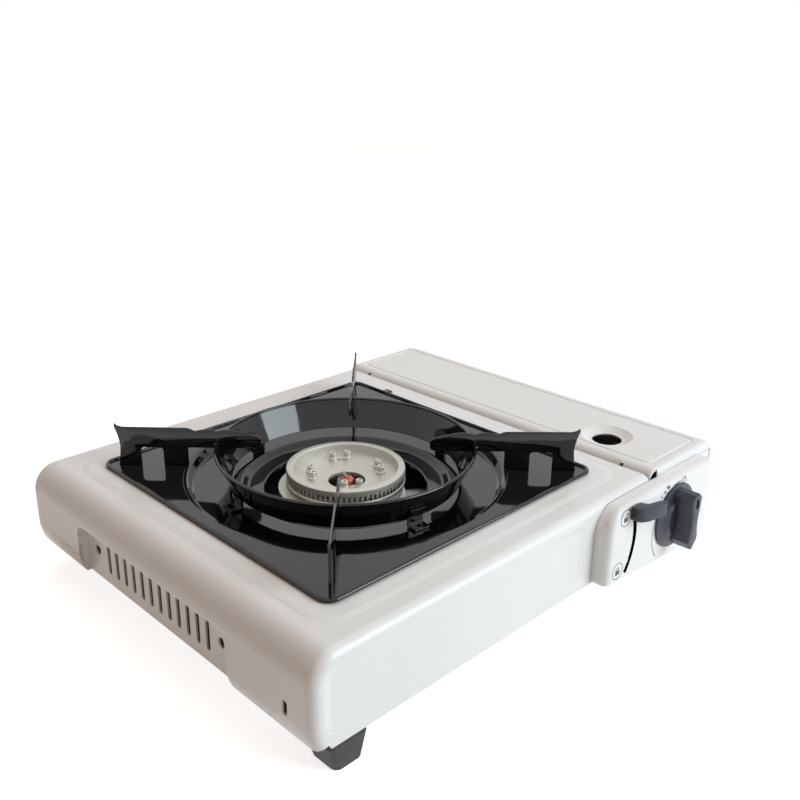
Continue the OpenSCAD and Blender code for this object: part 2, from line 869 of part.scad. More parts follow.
// Outline of an arm: x = distance from the middle of the burner, y = height
module arm_outline() {
    r0 = arm_reach;
    difference() {
        polygon([[r0, arm_h + 2.8], [r0 - 1.4, arm_h + 1.2], [r0 - 4.5, arm_h + 0.3], [98, arm_h],
                 [95.5, arm_h - 0.6], [92.5, arm_h - 2], [89, arm_h - 1.2], [85, arm_h - 0.7], [81.5, arm_h - 1],
                 [79, arm_h - 2.2], [76.5, arm_h - 1.4], [73, arm_h - 1], [68, arm_h - 1.2], [60, arm_h - 3],
                 [55, arm_h - 4.2], [52.6, arm_h - 5.6], [51.6, arm_h - 7.6], [51.4, arm_low_z + 2.4],
                 [52.2, arm_low_z + 0.8], [54, arm_low_z], [97.3, arm_low_z], [97.3, 0.2], [141, 0.2], [140, 6],
                 [139.4, 12], [139.7, 16], [140.8, 21], [r0 + 0.4, arm_h + 0.6]]);
        // openings between the legs
        translate([119.7, 4])
            round_square(13.8, 15.6, 2.2);
        translate([119.7, 2])
            square([13.8, 6], center = true);
    }
}

module pan_arm(i) {
    color(enamel_black)
        translate([pan_x, pan_y, rim_z + field_top - 0.2])
            rotate(45 + 90 * i)
                rotate([90, 0, 0])
                    translate([0, 0, -arm_t / 2])
                        linear_extrude(arm_t)
                            arm_outline();
}

// Four bent feet that hold the ring above the well
module ring_feet() {
    foot_w = 10;
    low_z = -7.05;
    color(enamel_black)
        translate([pan_x, pan_y, rim_z])
            for (a = [100, 170, 260, 350])
                rotate(a)
                    difference() {
                        translate([0, foot_w / 2, 0])
                            rotate([90, 0, 0])
                                linear_extrude(foot_w)
                                    polygon([[ring_low_r + 2.1, -1], [ring_low_r + 4.5, 4], [ring_low_r + 5.6, 4],
                                             [ring_low_r + 3.4, -1.4], [ring_low_r + 3.3, low_z + 1.3],
                                             [ring_low_r + 10, low_z + 1.2], [ring_low_r + 10, low_z],
                                             [ring_low_r + 2.1, low_z]]);
                        translate([ring_low_r + 6.5, 0, low_z - 1])
                            cylinder(r = 1.5, h = 4);
                    }
}

// Round bar along the feed line, from s0 to s1
module feed_rod(r, s0, s1) {
    translate([feed_x + s0 * feed_dir[0], feed_y + s0 * feed_dir[1], feed_z])
        rotate([0, 90, feed_a])
            cylinder(r = r, h = s1 - s0);
}

// Cast bowl below the burner head, with the socket of the mixing tube
module burner_base() {
    color(alu)
        difference() {
            union() {
                translate([pan_x, pan_y, rim_z]) {
                    rotate_extrude()
                        polygon([[0, bowl_low], [20, bowl_low], [bowl_r - 3.5, bowl_low + 5], [bowl_r - 1, bowl_low + 16],
                                 [bowl_r, bowl_top - 1.6], [bowl_r, bowl_top], [0, bowl_top]]);
                    // casting lip at the left
                    translate([-5, -1, bowl_top - 1.6])
                        cylinder(r = bowl_r + 3, h = 1.6);
                }
                translate([electrode_x, electrode_y, rim_z + bowl_top - 2])
                    cylinder(r = 6, h = 5);
                translate([throat_x, throat_y, feed_z - throat_r - bowl_wall])
                    cylinder(r = throat_r + bowl_wall, h = rim_z + bowl_low - feed_z + throat_r + 2 * bowl_wall);
                feed_rod(mix_r + bowl_wall, socket_s, feed_len);
            }
            difference() {
                translate([pan_x, pan_y, rim_z])
                    rotate_extrude()
                        polygon([[0, bowl_low + bowl_wall], [19, bowl_low + bowl_wall], [bowl_r - 6, bowl_low + 7],
                                 [bowl_r - 3.6, bowl_low + 16], [bowl_r - 3, bowl_top + 1], [0, bowl_top + 1]]);
                // pipe that keeps the electrode apart from the gas, and screw bosses
                translate([electrode_x, electrode_y, 0])
                    cylinder(r = 6, h = rim_z + bowl_top + 4);
                for (p = bowl_screw_xy)
                    translate([p[0], p[1], 0])
                        cylinder(r = 3.5, h = rim_z + bowl_low + bowl_wall + 4);
                feed_rod(mix_r + bowl_wall, socket_s, feed_len);
            }
            for (p = bowl_screw_xy)
                translate([p[0], p[1], rim_z + bowl_low - 1])
                    cylinder(r = screw_r + pin_clear, h = 6);
            translate([electrode_x, electrode_y, rim_z + bowl_low - 1])
                cylinder(r = 4, h = 30);
            translate([throat_x, throat_y, feed_z - throat_r])
                cylinder(r = throat_r, h = throat_r + mix_r + bowl_wall + 1);
            feed_rod(mix_r + pin_clear, socket_s - 1, feed_len);
        }
}

// Ring between bowl and head
module flame_ring() {
    color(alu)
        translate([pan_x, pan_y, rim_z])
            rotate_extrude()
                polygon([[head_r - 5.4, bowl_top], [head_r - 1.9, bowl_top], [head_r + 0.1, bowl_top + 1.5],
                         [head_r + 0.1, head_low - 0.4], [head_r - 0.4, head_low], [head_r - 5.4, head_low]]);
}

// Cast head with a sunken disc and a band of flame slots
module burner_head() {
    color(alu)
        translate([pan_x, pan_y, rim_z])
            difference() {
                rotate_extrude()
                    polygon([[0, -0.6 - head_t], [head_r - 5.4, -0.6 - head_t], [head_r - 5.4, head_low],
                             [head_r - 0.5, head_low], [head_r - 0.5, -2.9], [head_r, -2.4], [head_r, 0.3],
                             [head_r - 0.6, 0.9], [rim_r + 0.4, 1], [rim_r, 0.7], [rim_r - 0.3, -0.6], [0, -0.6]]);
                for (i = [0:flame_slots - 1])
                    rotate(360 / flame_slots * i)
                        translate([head_r - 6, -0.85, head_low + 0.8])
                            cube([7, 1.7, 2.9]);
                // opening over the electrode
                translate([electrode_x - pan_x, electrode_y - pan_y, -10])
                    linear_extrude(12)
                        rotate(-38)
                            round_square(21, 13, 6.4);
            }
}

// Pairs of inner jets on small bridges
module burner_jets() {
    jet_r = 2.3;
    jet_gap = 9.1;
    color(alu)
        translate([pan_x, pan_y, rim_z - 0.6])
            for (i = [0:3])
                rotate(58 + 90 * i)
                    difference() {
                        union() {
                            for (s = [-1, 1])
                                translate([jet_pcd_r, s * jet_gap / 2, 0]) {
                                    cylinder(r = jet_r + 0.7, h = 2.2);
                                    cylinder(r = jet_r, h = 6);
                                }
                            translate([jet_pcd_r - 1.6, -jet_gap / 2, 0])
                                cube([3.2, jet_gap, 2]);
                        }
                        for (s = [-1, 1])
                            translate([jet_pcd_r, s * jet_gap / 2, 2.5])
                                cylinder(r = 0.9, h = 5);
                    }
}

// Screws that hold the bowl on its bridge, from below
module burner_screws() {
    color(steel)
        for (p = bowl_screw_xy)
            translate([p[0], p[1], rim_z + bowl_low - sheet])
                mirror([0, 0, 1])
                    pan_screw(sheet + 4.5);
}

// Bridge on the base plate that carries the bowl
module burner_bracket() {
    seat_z = rim_z + bowl_low;
    bridge_w = 40;
    bridge_l = 64;
    color(steel)
        translate([pan_x, pan_y, 0])
            difference() {
                union() {
                    translate([-bridge_w / 2, -bridge_l / 2, seat_z - sheet])
                        cube([bridge_w, bridge_l, sheet]);
                    for (s = [-1, 1]) {
                        translate([-bridge_w / 2, s * (bridge_l / 2 - sheet / 2) - sheet / 2, base_top_z])
                            cube([bridge_w, sheet, seat_z - base_top_z]);
                        translate([-bridge_w / 2, s * (bridge_l / 2 + 5) - 6, base_top_z])
                            cube([bridge_w, 12, sheet]);
                    }
                }
                translate([throat_x - pan_x, throat_y - pan_y, seat_z - 5])
                    cylinder(r = throat_r + bowl_wall + gap, h = 10);
                translate([electrode_x - pan_x, electrode_y - pan_y, seat_z - 5])
                    cylinder(r = 4, h = 10);
                // passages of the ignition lead and the mixing tube
                rod_y(electrode_x - pan_x, lead_z, 3, -bridge_l, 0);
                translate([-pan_x, -pan_y, 0])
                    feed_rod(mix_r + bowl_wall + gap, feed_len - 60, feed_len);
                for (s = [-1, 1])
                    translate([0, s * (bridge_l / 2 + 6.5), base_top_z - 1])
                        cylinder(r = screw_r + pin_clear, h = 5);
                for (p = bowl_screw_xy)
                    translate([p[0] - pan_x, p[1] - pan_y, seat_z - 5])
                        cylinder(r = screw_r + pin_clear, h = 10);
            }
}

// Venturi tube with a flared mouth
module mixing_tube() {
    tube_l = feed_len - 11 - mouth_s;
    color(steel)
        translate([feed_x + mouth_s * feed_dir[0], feed_y + mouth_s * feed_dir[1], feed_z])
            rotate([0, 90, feed_a])
                rotate_extrude()
                    polygon([[mix_r + 2, 0], [mix_r + 3, 0], [mix_r, 6], [mix_r, tube_l],
                             [mix_r - 1, tube_l], [mix_r - 1, 6]]);
}

// Tube from the valve to the nozzle
module gas_tube() {
    color(steel)
        difference() {
            feed_rod(gas_r, boss_r + 4.5, mouth_s - 4);
            feed_rod(gas_r - 1, boss_r, mouth_s);
        }
}

// Brass nozzle with a hexagon, in the mouth of the mixing tube
module gas_nozzle() {
    color(brass)
        difference() {
            union() {
                feed_rod(gas_r + 2.5, mouth_s - 4 - e, mouth_s);
                translate([feed_x + (mouth_s - 12) * feed_dir[0], feed_y + (mouth_s - 12) * feed_dir[1], feed_z])
                    rotate([0, 90, feed_a])
                        cylinder(r = gas_r + 3.5, h = 8, $fn = 6);
                feed_rod(2, mouth_s - e, mouth_s + 5);
            }
            feed_rod(gas_r + pin_clear, mouth_s - 13, mouth_s - 4);
            feed_rod(0.6, mouth_s - 5, mouth_s + 6);
        }
}

// Round bar along Y
module rod_y(x, z, r, y0, y1) {
    translate([x, y0, z])
        rotate([-90, 0, 0])
            cylinder(r = r, h = y1 - y0);
}

// Die-cast pressure regulator with the seats of valve stem and canister
module regulator_body() {
    color(alu)
        difference() {
            union() {
                rod_y(can_x, can_z, reg_r, valve_y, valve_y + 14);
                rod_y(can_x, can_z, neck_r, valve_y + 14 - e, neck_y);
                rod_y(knob_x, knob_z, boss_r, valve_y, valve_y + 30);
                translate([knob_x, valve_y + 2, knob_z - 7])
                    cube([can_x - knob_x, 11, 12]);
                feed_rod(gas_r + 2.5, 0, boss_r + 4.5);
            }
            rod_y(knob_x, knob_z, stem_r + pin_clear, valve_y - 1, valve_y + 16);
            rod_y(can_x, can_z, inlet_r, neck_y - inlet_depth, neck_y + 1);
            rod_y(can_x, can_z, seal_r, neck_y - inlet_depth - seal_t - gap, neck_y - inlet_depth + e);
        }
}

// Domed cover of the diaphragm
module regulator_cap() {
    color(steel)
        translate([can_x, valve_y, can_z])
            rotate([90, 0, 0])
                rotate_extrude()
                    polygon([[0, 0], [reg_r - 3, 0], [reg_r - 3, 2.5], [reg_r - 6, 5], [9, 5.6], [8, 8], [0, 8]]);
}

// Rubber seal at the bottom of the inlet
module inlet_seal() {
    seal_y = neck_y - inlet_depth - seal_t - gap;
    color(plastic_dark)
        difference() {
            rod_y(can_x, can_z, seal_r, seal_y, seal_y + seal_t);
            rod_y(can_x, can_z, 1.5, seal_y - 1, seal_y + seal_t + 1);
        }
}

// Collar with the notch that fits the rim of the canister
module inlet_collar() {
    color(steel)
        difference() {
            union() {
                rod_y(can_x, can_z, neck_r + 2, neck_y - 6, neck_y);
                rod_y(can_x, can_z, neck_r + 4.5, neck_y, neck_y + 1.2);
                difference() {
                    rod_y(can_x, can_z, neck_r + 1, neck_y + 1, neck_y + 6);
                    rod_y(can_x, can_z, neck_r - 0.5, neck_y, neck_y + 7);
                }
            }
            rod_y(can_x, can_z, neck_r + pin_clear, neck_y - 7, neck_y);
            rod_y(can_x, can_z, neck_r - 2, neck_y - 1, neck_y + 3);
            translate([can_x - 3.5, neck_y + 1.2, can_z])
                cube([7, 10, neck_r + 10]);
        }
}

// Angle plate that holds the regulator
module regulator_bracket() {
    color(steel)
        difference() {
            union() {
                translate([bracket_x0, valve_y - sheet, base_top_z])
                    cube([bracket_w, sheet, can_z + reg_r - base_top_z]);
                translate([bracket_x0, front_y + end_gap, base_top_z])
                    cube([bracket_w, valve_y - front_y - end_gap, sheet]);
            }
            rod_y(can_x, can_z, reg_r - 3 + gap, valve_y - 3, valve_y + 1);
            rod_y(knob_x, knob_z, stem_r + 1, valve_y - 3, valve_y + 1);
            for (i = [2, 3])
                translate([base_screw_xy[i][0], base_screw_xy[i][1], base_top_z - 1])
                    cylinder(r = screw_r + pin_clear, h = 5);
        }
}

// Shaft of the valve with the cam that works the igniter
module valve_stem() {
    rise = plunger_travel / knob_turn;
    color(steel) {
        rod_y(knob_x, knob_z, stem_r, skirt_y - grip_h + 4 + gap, valve_y + 12);
        translate([knob_x, cam_y + cam_t, knob_z])
            rotate([90, 0, 0])
                linear_extrude(cam_t)
                    polygon(concat(
                        [for (a = [180:-5:180 - knob_turn]) (cam_r0 + rise * (180 - a)) * [cos(a), sin(a)]],
                        [for (a = [180 - knob_turn:-10:-180]) cam_r0 * [cos(a), sin(a)]]));
    }
}

// Knob with a skirt and a waisted grip
module knob() {
    grip_y = skirt_y - grip_h - 1.5;
    grip_l = 16.7;
    color(plastic_dark)
        difference() {
            union() {
                translate([knob_x, panel_y - gap, knob_z])
                    rotate([90, 0, 0])
                        rotate_extrude()
                            polygon([[0, 0], [knob_r, 0], [knob_r, skirt_d - 0.6], [knob_r - 0.6, skirt_d],
                                     [14, skirt_d + 0.6], [12, skirt_d + 1.6], [0, skirt_d + 2]]);
                along_y(grip_y + 1, skirt_y)
                    translate([knob_x, knob_z])
                        grip_outline(grip_l, 5.5, 0);
                along_y(grip_y, grip_y + 1 + e)
                    translate([knob_x, knob_z])
                        grip_outline(grip_l, 5.5, 0.7);
            }
            rod_y(knob_x, knob_z, stem_r + pin_clear, skirt_y - grip_h + 4, panel_y + 1);
        }
}

// Plan of the grip: half-length l, half-width w, waisted, smaller by i
module grip_outline(l, w, i) {
    intersection() {
        circle(l - i);
        difference() {
            square([2 * (w - i), 2 * l], center = true);
            for (s = [-1, 1])
                translate([s * (w - i + 39), 0])
                    circle(40);
        }
    }
}

// Housing of the piezo element, between front wall and partition
module igniter_body() {
    x0 = pivot_x + lever_r + 5.5;
    color(plastic_dark)
        difference() {
            union() {
                translate([x0, plunger_y - 5, knob_z - 6.5])
                    cube([partition_x - x0, 10, 13]);
                // fixing flange on the partition
                translate([partition_x - 2, plunger_y - 5, knob_z - 12])
                    cube([2, 10, 24]);
            }
            translate([partition_x - 12, plunger_y, knob_z])
                rotate([0, 90, 0])
                    cylinder(r = plunger_r + pin_clear, h = 13);
        }
}

// Plunger that the cam pushes in
module igniter_plunger() {
    x1 = knob_x - cam_r0 - plunger_gap;
    x0 = partition_x - 12 + plunger_travel + 1;
    color(alu)
        translate([x0, plunger_y, knob_z])
            rotate([0, 90, 0])
                cylinder(r = plunger_r, h = x1 - x0);
}

// Bend of a round rod over angle a, in the XY plane, starting at x = bend_r
module rod_bend(bend_r, r, a) {
    rotate_extrude(angle = a)
        translate([bend_r, 0])
            circle(r);
}

// Ignition lead from the piezo element to the electrode
module igniter_lead() {
    top_z = rim_z + bowl_low + 1;
    color(plastic_dark) {
        rod_y(lead_x, knob_z, lead_r, plunger_y + 5, lead_y - lead_bend);
        translate([lead_x, lead_y - lead_bend, knob_z - lead_bend])
            rotate([90, 0, 90])
                rod_bend(lead_bend, lead_r, 90);
        translate([lead_x, lead_y, lead_z + lead_bend])
            cylinder(r = lead_r, h = knob_z - lead_z - 2 * lead_bend);
        translate([lead_x - lead_bend, lead_y, lead_z + lead_bend])
            rotate([90, 0, 0])
                rotate(-90)
                    rod_bend(lead_bend, lead_r, 90);
        translate([electrode_x + lead_bend, lead_y, lead_z])
            rotate([0, 90, 0])
                cylinder(r = lead_r, h = lead_x - electrode_x - 2 * lead_bend);
        translate([electrode_x + lead_bend, lead_y + lead_bend, lead_z])
            rotate(180)
                rod_bend(lead_bend, lead_r, 90);
        rod_y(electrode_x, lead_z, lead_r, lead_y + lead_bend, electrode_y - lead_bend);
        translate([electrode_x, electrode_y - lead_bend, lead_z + lead_bend])
            rotate([90, 0, 90])
                rotate(-90)
                    rod_bend(lead_bend, lead_r, 90);
        translate([electrode_x, electrode_y, lead_z + lead_bend])
            cylinder(r = lead_r, h = top_z - lead_z - lead_bend);
    }
}

// Ceramic sleeve of the electrode
module electrode_insulator() {
    z0 = rim_z + bowl_low + 1;
    color(ceramic_orange)
        translate([electrode_x, electrode_y, z0])
            difference() {
                union() {
                    cylinder(r = 3.2, h = rim_z - 3.5 - z0);
                    translate([0, 0, rim_z - 6.5 - z0])
                        cylinder(r = 4.6, h = 3.5);
                }
                translate([0, 0, -1])
                    cylinder(r = 1.25, h = rim_z - z0);
            }
}

// Spark rod with a bent tip
module electrode() {
    z0 = rim_z + bowl_low + 4;
    rod_r = 1.2;
    color(steel)
        translate([electrode_x, electrode_y, 0]) {
            translate([0, 0, z0])
                cylinder(r = rod_r, h = rim_z + 1.2 - z0);
            translate([0, 0, rim_z])
                rotate([-55, 0, 0])
                    cylinder(r = rod_r - 0.1, h = 4.5);
        }
}

// Steel lever with the crank that drives the push bar
module lever_arm() {
    tip = lever_r * [cos(lever_rest_a), sin(lever_rest_a)];
    crank_a = lever_swing / 2 - 90;
    color(steel)
        difference() {
            union() {
                along_y(lever_y, lever_y + lever_t)
                    translate([pivot_x, pivot_z]) {
                        circle(8);
                        rotate(lever_rest_a) {
                            translate([0, -4])
                                square([lever_r, 8]);
                            translate([lever_r, 0])
                                circle(3.4);
                        }
                        rotate(crank_a)
                            translate([0, -4])
                                square([crank_r, 8]);
                    }
                // crank pin
                translate([pivot_x, lever_y + lever_t / 2, pivot_z])
                    rotate([0, 90 - crank_a, 0])
                        translate([0, 0, crank_r - 4])
                            cylinder(r = crank_pin_r, h = crank_tip_r - crank_r + 4);
                // stalk of the grip
                rod_y(pivot_x + tip[0], pivot_z + tip[1], stalk_r, panel_y - 3, lever_y + e);
            }
            rod_y(pivot_x, pivot_z, lever_pin_r + pin_clear, lever_y - 1, lever_y + lever_t + 1);
        }
}

// Finger grip in front of the panel
module lever_grip() {
    tip = lever_r * [cos(lever_rest_a), sin(lever_rest_a)];
    grip_w = 8;
    color(plastic_dark)
        difference() {
            translate([pivot_x + tip[0], panel_y - 0.4, pivot_z + tip[1] - grip_w / 2 + 1])
                linear_extrude(grip_w)
                    polygon([[-4, 0], [5, 0], [6, -4.4], [15.5, -7], [17.3, -8.4], [17.3, -10.3], [15.8, -11.4],
                             [13.5, -11.4], [1.5, -9], [-2.6, -7], [-4, -4.8]]);
            rod_y(pivot_x + tip[0], pivot_z + tip[1], stalk_r + pin_clear, panel_y - 3, panel_y + 1);
        }
}

// Shouldered stud behind the front wall, on which the lever turns
module lever_pivot() {
    color(steel) {
        rod_y(pivot_x, pivot_z, 6, front_y + sheet + field_depth, lever_y - gap);
        rod_y(pivot_x, pivot_z, lever_pin_r, lever_y - gap - e, lever_y + lever_t + gap + e);
        rod_y(pivot_x, pivot_z, 5.5, lever_y + lever_t + gap, lever_y + lever_t + gap + 1.6);
    }
}

// Bar between crank and pusher
module push_bar() {
    pin_y = lever_y + lever_t / 2;
    reach = (pivot_z - bar_z - bar_t / 2) * tan(lever_swing / 2);
    slot_a = atan2(-pusher_travel, 2 * reach);
    slot_l = sqrt(4 * reach * reach + pusher_travel * pusher_travel);
    rail = crank_pin_r + 2;
    color(steel)
        translate([0, 0, bar_z])
            difference() {
                union() {
                    translate([pivot_x - reach - 7, pin_y - rail, 0])
                        cube([bar_x1 - pivot_x + reach + 7, rail + 10, bar_t]);
                    translate([bar_x0, pin_y, 0])
                        cube([bar_x1 - bar_x0, pusher_y - pin_y + 4.6, bar_t]);
                    translate([bar_x0, pusher_y, 0])
                        cube([can_x - bar_x0, 4.6, bar_t]);
                }
                translate([pivot_x - reach, pin_y + pusher_travel, -1])
                    rotate(slot_a)
                        linear_extrude(bar_t + 2)
                            translate([slot_l / 2, 0])
                                round_square(slot_l + 2 * crank_pin_r + 1, 2 * crank_pin_r + 1,
                                             crank_pin_r + 0.5 - e);
                // notch that the lever's arm and stalk dip into
                translate([pivot_x + lever_r / 2 + 1, pin_y - rail - 1, -1])
                    cube([lever_r / 2 + 2, rail + pusher_travel + lever_t / 2 + 1.6, bar_t + 2]);
            }
}

// Plate that presses the canister against its seat
module canister_pusher() {
    push_r = 20;
    color(steel)
        difference() {
            union() {
                rod_y(can_x, can_z, push_r, pusher_y, pusher_y + sheet);
                rod_y(can_x, can_z, 9, pusher_y - 1.2, pusher_y + e);
            }
            translate([can_x - push_r - 1, pusher_y - 3, 0])
                cube([2 * push_r + 2, 10, bar_z + bar_t]);
        }
}

// Two plastic blocks in which the push bar slides
module pusher_guides() {
    block_d = 7;
    flange_x = partition_x - 8 - gap;
    color(plastic_dark)
        for (y = [pan_y - 60, pan_y + 84])
            difference() {
                union() {
                    translate([bar_x0 - 2.4, y, base_top_z])
                        cube([flange_x - bar_x0 + 2.4, block_d, bar_z + bar_t + 2.2 - base_top_z]);
                    translate([flange_x - e, y, base_top_z + partition_t])
                        cube([partition_x - flange_x, block_d, bar_z + 2.2 + bar_t - base_top_z - partition_t]);
                }
                translate([bar_x0 - gap, y - 1, bar_z - gap])
                    cube([bar_x1 - bar_x0 + 2 * gap, block_d + 2, bar_t + 2 * gap]);
            }
}

// Plate in the trough that guides the neck of the canister
module canister_guide() {
    y0 = neck_y + 9;
    color(steel)
        along_y(y0, y0 + sheet)
            difference() {
                intersection() {
                    translate([can_x, can_z])
                        circle(trough_r - gap);
                    translate([can_x - trough_r, 0])
                        square([2 * trough_r, can_z + 14]);
                }
                translate([can_x, can_z])
                    circle(neck_r + 3);
                translate([can_x - neck_r - 3, can_z])
                    square([2 * neck_r + 6, 30]);
            }
}

// Tapered plastic foot; the one beside the trough is hollowed to clear it
module foot(i) {
    out = foot_out[i];
    w = foot_w - (out[0] > 0 ? 3 : 0);
    foot_d = foot_w - 2;
    top_z = base_z - gap;
    color(foot_dark)
        difference() {
            union() {
                hull() {
                    translate([foot_xy[i][0], foot_xy[i][1], top_z - 3])
                        linear_extrude(3)
                            round_square(w, foot_d, 3, $fn = hull_fn);
                    translate([foot_xy[i][0] - out[0] * 2, foot_xy[i][1] - out[1], 0])
                        linear_extrude(1)
                            round_square(w - 6, foot_d - 3, 4, $fn = hull_fn);
                }
                translate([foot_screw_xy[i][0], foot_screw_xy[i][1], top_z - 1])
                    cylinder(r = 3.6, h = base_top_z - base_t - top_z + 1);
            }
            rod_y(can_x, can_z, trough_r + base_t + gap, back_y - 30, back_y);
            translate([foot_screw_xy[i][0], foot_screw_xy[i][1], top_z - 9])
                cylinder(r = screw_r + pin_clear, h = 20);
        }
}

// Screw with a pan head at z = 0 and its shaft below
module pan_screw(l) {
    difference() {
        cylinder(r = screw_head_r, h = 1.6);
        translate([-screw_head_r, -0.35, 0.9])
            cube([2 * screw_head_r, 0.7, 2]);
        translate([-0.35, -screw_head_r, 0.9])
            cube([0.7, 2 * screw_head_r, 2]);
    }
    translate([0, 0, -l])
        cylinder(r = screw_r, h = l + e);
}

module foot_screws() {
    color(steel)
        for (p = foot_screw_xy)
            translate([p[0], p[1], base_top_z])
                pan_screw(base_t + 8);
}

module panel_screws() {
    color(steel)
        for (p = panel_screw_xz)
            translate([p[0], front_y + sheet, p[1]])
                rotate([-90, 0, 0])
                    pan_screw(sheet + 6);
}

// Screws of the brackets on the base plate
module base_screws() {
    color(steel)
        for (p = base_screw_xy)
            translate([p[0], p[1], base_top_z + sheet])
                pan_screw(sheet + base_t + 0.5);
}

housing();
base_plate();
partition();
control_panel();
lid();
hinge_pins();
drip_pan();
support_ring();
for (i = [0:3])
    pan_arm(i);
ring_feet();
burner_head();
flame_ring();
burner_base();
burner_bracket();
burner_screws();
burner_jets();
mixing_tube();
gas_nozzle();
gas_tube();
regulator_body();
regulator_cap();
inlet_collar();
inlet_seal();
regulator_bracket();
valve_stem();
knob();
igniter_body();
igniter_plunger();
igniter_lead();
electrode();
electrode_insulator();
lever_arm();
lever_grip();
lever_pivot();
push_bar();
canister_pusher();
pusher_guides();
canister_guide();
for (i = [0:3])
    foot(i);
foot_screws();
panel_screws();
base_screws();
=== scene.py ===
import json
import math
import bmesh
import bpy
from mathutils import Matrix, Vector


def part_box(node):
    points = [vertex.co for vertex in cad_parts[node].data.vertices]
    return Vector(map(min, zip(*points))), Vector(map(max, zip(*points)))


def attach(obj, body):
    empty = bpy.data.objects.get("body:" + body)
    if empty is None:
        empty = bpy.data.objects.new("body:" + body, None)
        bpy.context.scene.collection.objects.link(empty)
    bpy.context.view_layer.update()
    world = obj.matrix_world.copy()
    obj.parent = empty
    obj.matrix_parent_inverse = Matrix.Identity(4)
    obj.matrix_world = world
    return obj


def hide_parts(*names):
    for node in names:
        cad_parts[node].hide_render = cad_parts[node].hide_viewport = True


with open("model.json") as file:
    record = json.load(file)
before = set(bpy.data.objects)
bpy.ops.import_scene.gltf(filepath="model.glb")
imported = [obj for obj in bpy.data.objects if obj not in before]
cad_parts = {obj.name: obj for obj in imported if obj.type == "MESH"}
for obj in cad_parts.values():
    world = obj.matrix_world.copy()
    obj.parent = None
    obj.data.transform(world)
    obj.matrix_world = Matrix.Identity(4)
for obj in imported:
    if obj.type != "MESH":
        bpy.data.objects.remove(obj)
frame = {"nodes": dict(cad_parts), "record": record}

bl_info = {
    "name": "Butane Cassette Stove",
    "version": (1, 0, 0),
    "blender": (4, 5, 0),
    "location": "3D View > Sidebar > Stove",
    "description": "Finishes and details of a portable gas stove with an enamelled housing",
    "category": "Object",
}

MM = 0.001
MM_PER_M = 1000
FULL_TURN = 2 * math.pi
UP = Vector((0, 0, 1))
BACKWARDS = Vector((0, 1, 0))
FACING_FRONT = Matrix.Rotation(math.pi / 2, 4, "X")
# Distances in metres under which two things count as one
SAME_PLACE = 1e-6
MERGE_NEW = 1e-7
MERGE_CAD = 2e-6
SAME_LEVEL = 5e-6
ON_OUTLINE = 1e-5
ON_CORNER = 0.15 * MM
CAD = frame["nodes"]
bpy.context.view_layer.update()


def middle(node):
    """Centre of a CAD node's box, in metres."""
    low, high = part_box(node)
    return (low + high) / 2


# Places that the details take from the CAD model
PAN_CENTRE = Vector((middle("burner_head").x, middle("burner_head").y, 0))
KNOB_AXIS = middle("knob")
PANEL_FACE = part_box("control_panel")[0].y
KNOB_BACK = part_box("knob")[1].y
KNOB_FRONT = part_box("knob")[0].y
KNOB_RADIUS = (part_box("knob")[1].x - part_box("knob")[0].x) / 2
RING_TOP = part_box("support_ring")[1].z
RING_RADIUS = (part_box("support_ring")[1].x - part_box("support_ring")[0].x) / 2
PLATEAU_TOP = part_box("housing")[1].z
BURNER_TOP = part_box("burner_head")[1].z
BURNER_RADIUS = (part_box("burner_head")[1].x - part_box("burner_head")[0].x) / 2
ARM_ANGLES = (45, 135, 225, 315)


def hex_colour(code):
    """Linear colour of an sRGB hex value such as #E9E6DC."""
    parts = [int(code[i:i + 2], 16) / 255 for i in (1, 3, 5)]
    return tuple(c / 12.92 if c <= 0.04045 else ((c + 0.055) / 1.055) ** 2.4 for c in parts)


def shade(colour, factor):
    """A colour made darker or lighter by a factor."""
    return tuple(c * factor for c in colour)


def colour_property(label, code, text):
    """Colour that a user may change, from its sRGB hex value."""
    return bpy.props.FloatVectorProperty(
        name=label, description=text, subtype="COLOR", size=3, min=0, max=1,
        default=hex_colour(code))


def length_property(label, mm, text, low=0.0, high=100.0):
    """Length that a user may change, in millimetres."""
    return bpy.props.FloatProperty(
        name=label, description=text, unit="LENGTH", subtype="DISTANCE", precision=4,
        min=low * MM, max=high * MM, default=mm * MM)


class StoveColours(bpy.types.PropertyGroup):
    """Colours of the finishes."""
    white_enamel: colour_property(
        "White Enamel", "#E6E8E8", "Baked enamel of housing, lid and panel")
    white_tone: colour_property(
        "White Tone", "#E3E5E4", "Slightly warmer tone in the white enamel")
    black_enamel: colour_property(
        "Black Enamel", "#0B0C0F", "Glass enamel of drip pan and pan support")
    cast_metal: colour_property("Cast Metal", "#A2A098", "Cast aluminium of the burner")
    turned_metal: colour_property(
        "Turned Metal", "#CBC9C1", "Turned faces of the burner and the jets")
    # painted shade: black painted into the flame slots, the jet bores and the panel's inside,
    # where deep shade falls
    painted_shade: colour_property("Painted Shade", "#080808", "Walls of the flame slots")
    plated_steel: colour_property("Plated Steel", "#8E8F90", "Zinc on the hidden steel pieces")
    brass: colour_property("Brass", "#C9A35A", "Gas nozzle")
    knob_plastic: colour_property("Knob Plastic", "#1E2433", "Moulded knob and lever grip")
    foot_plastic: colour_property("Foot Plastic", "#12151D", "Moulded feet")
    rubber: colour_property("Rubber", "#1A1A1B", "Seal and lead")
    ceramic: colour_property("Ceramic", "#D4573C", "Glazed sleeve of the spark rod")
    print_ink: colour_property("Print", "#4B4E55", "Printed marks on the panel")


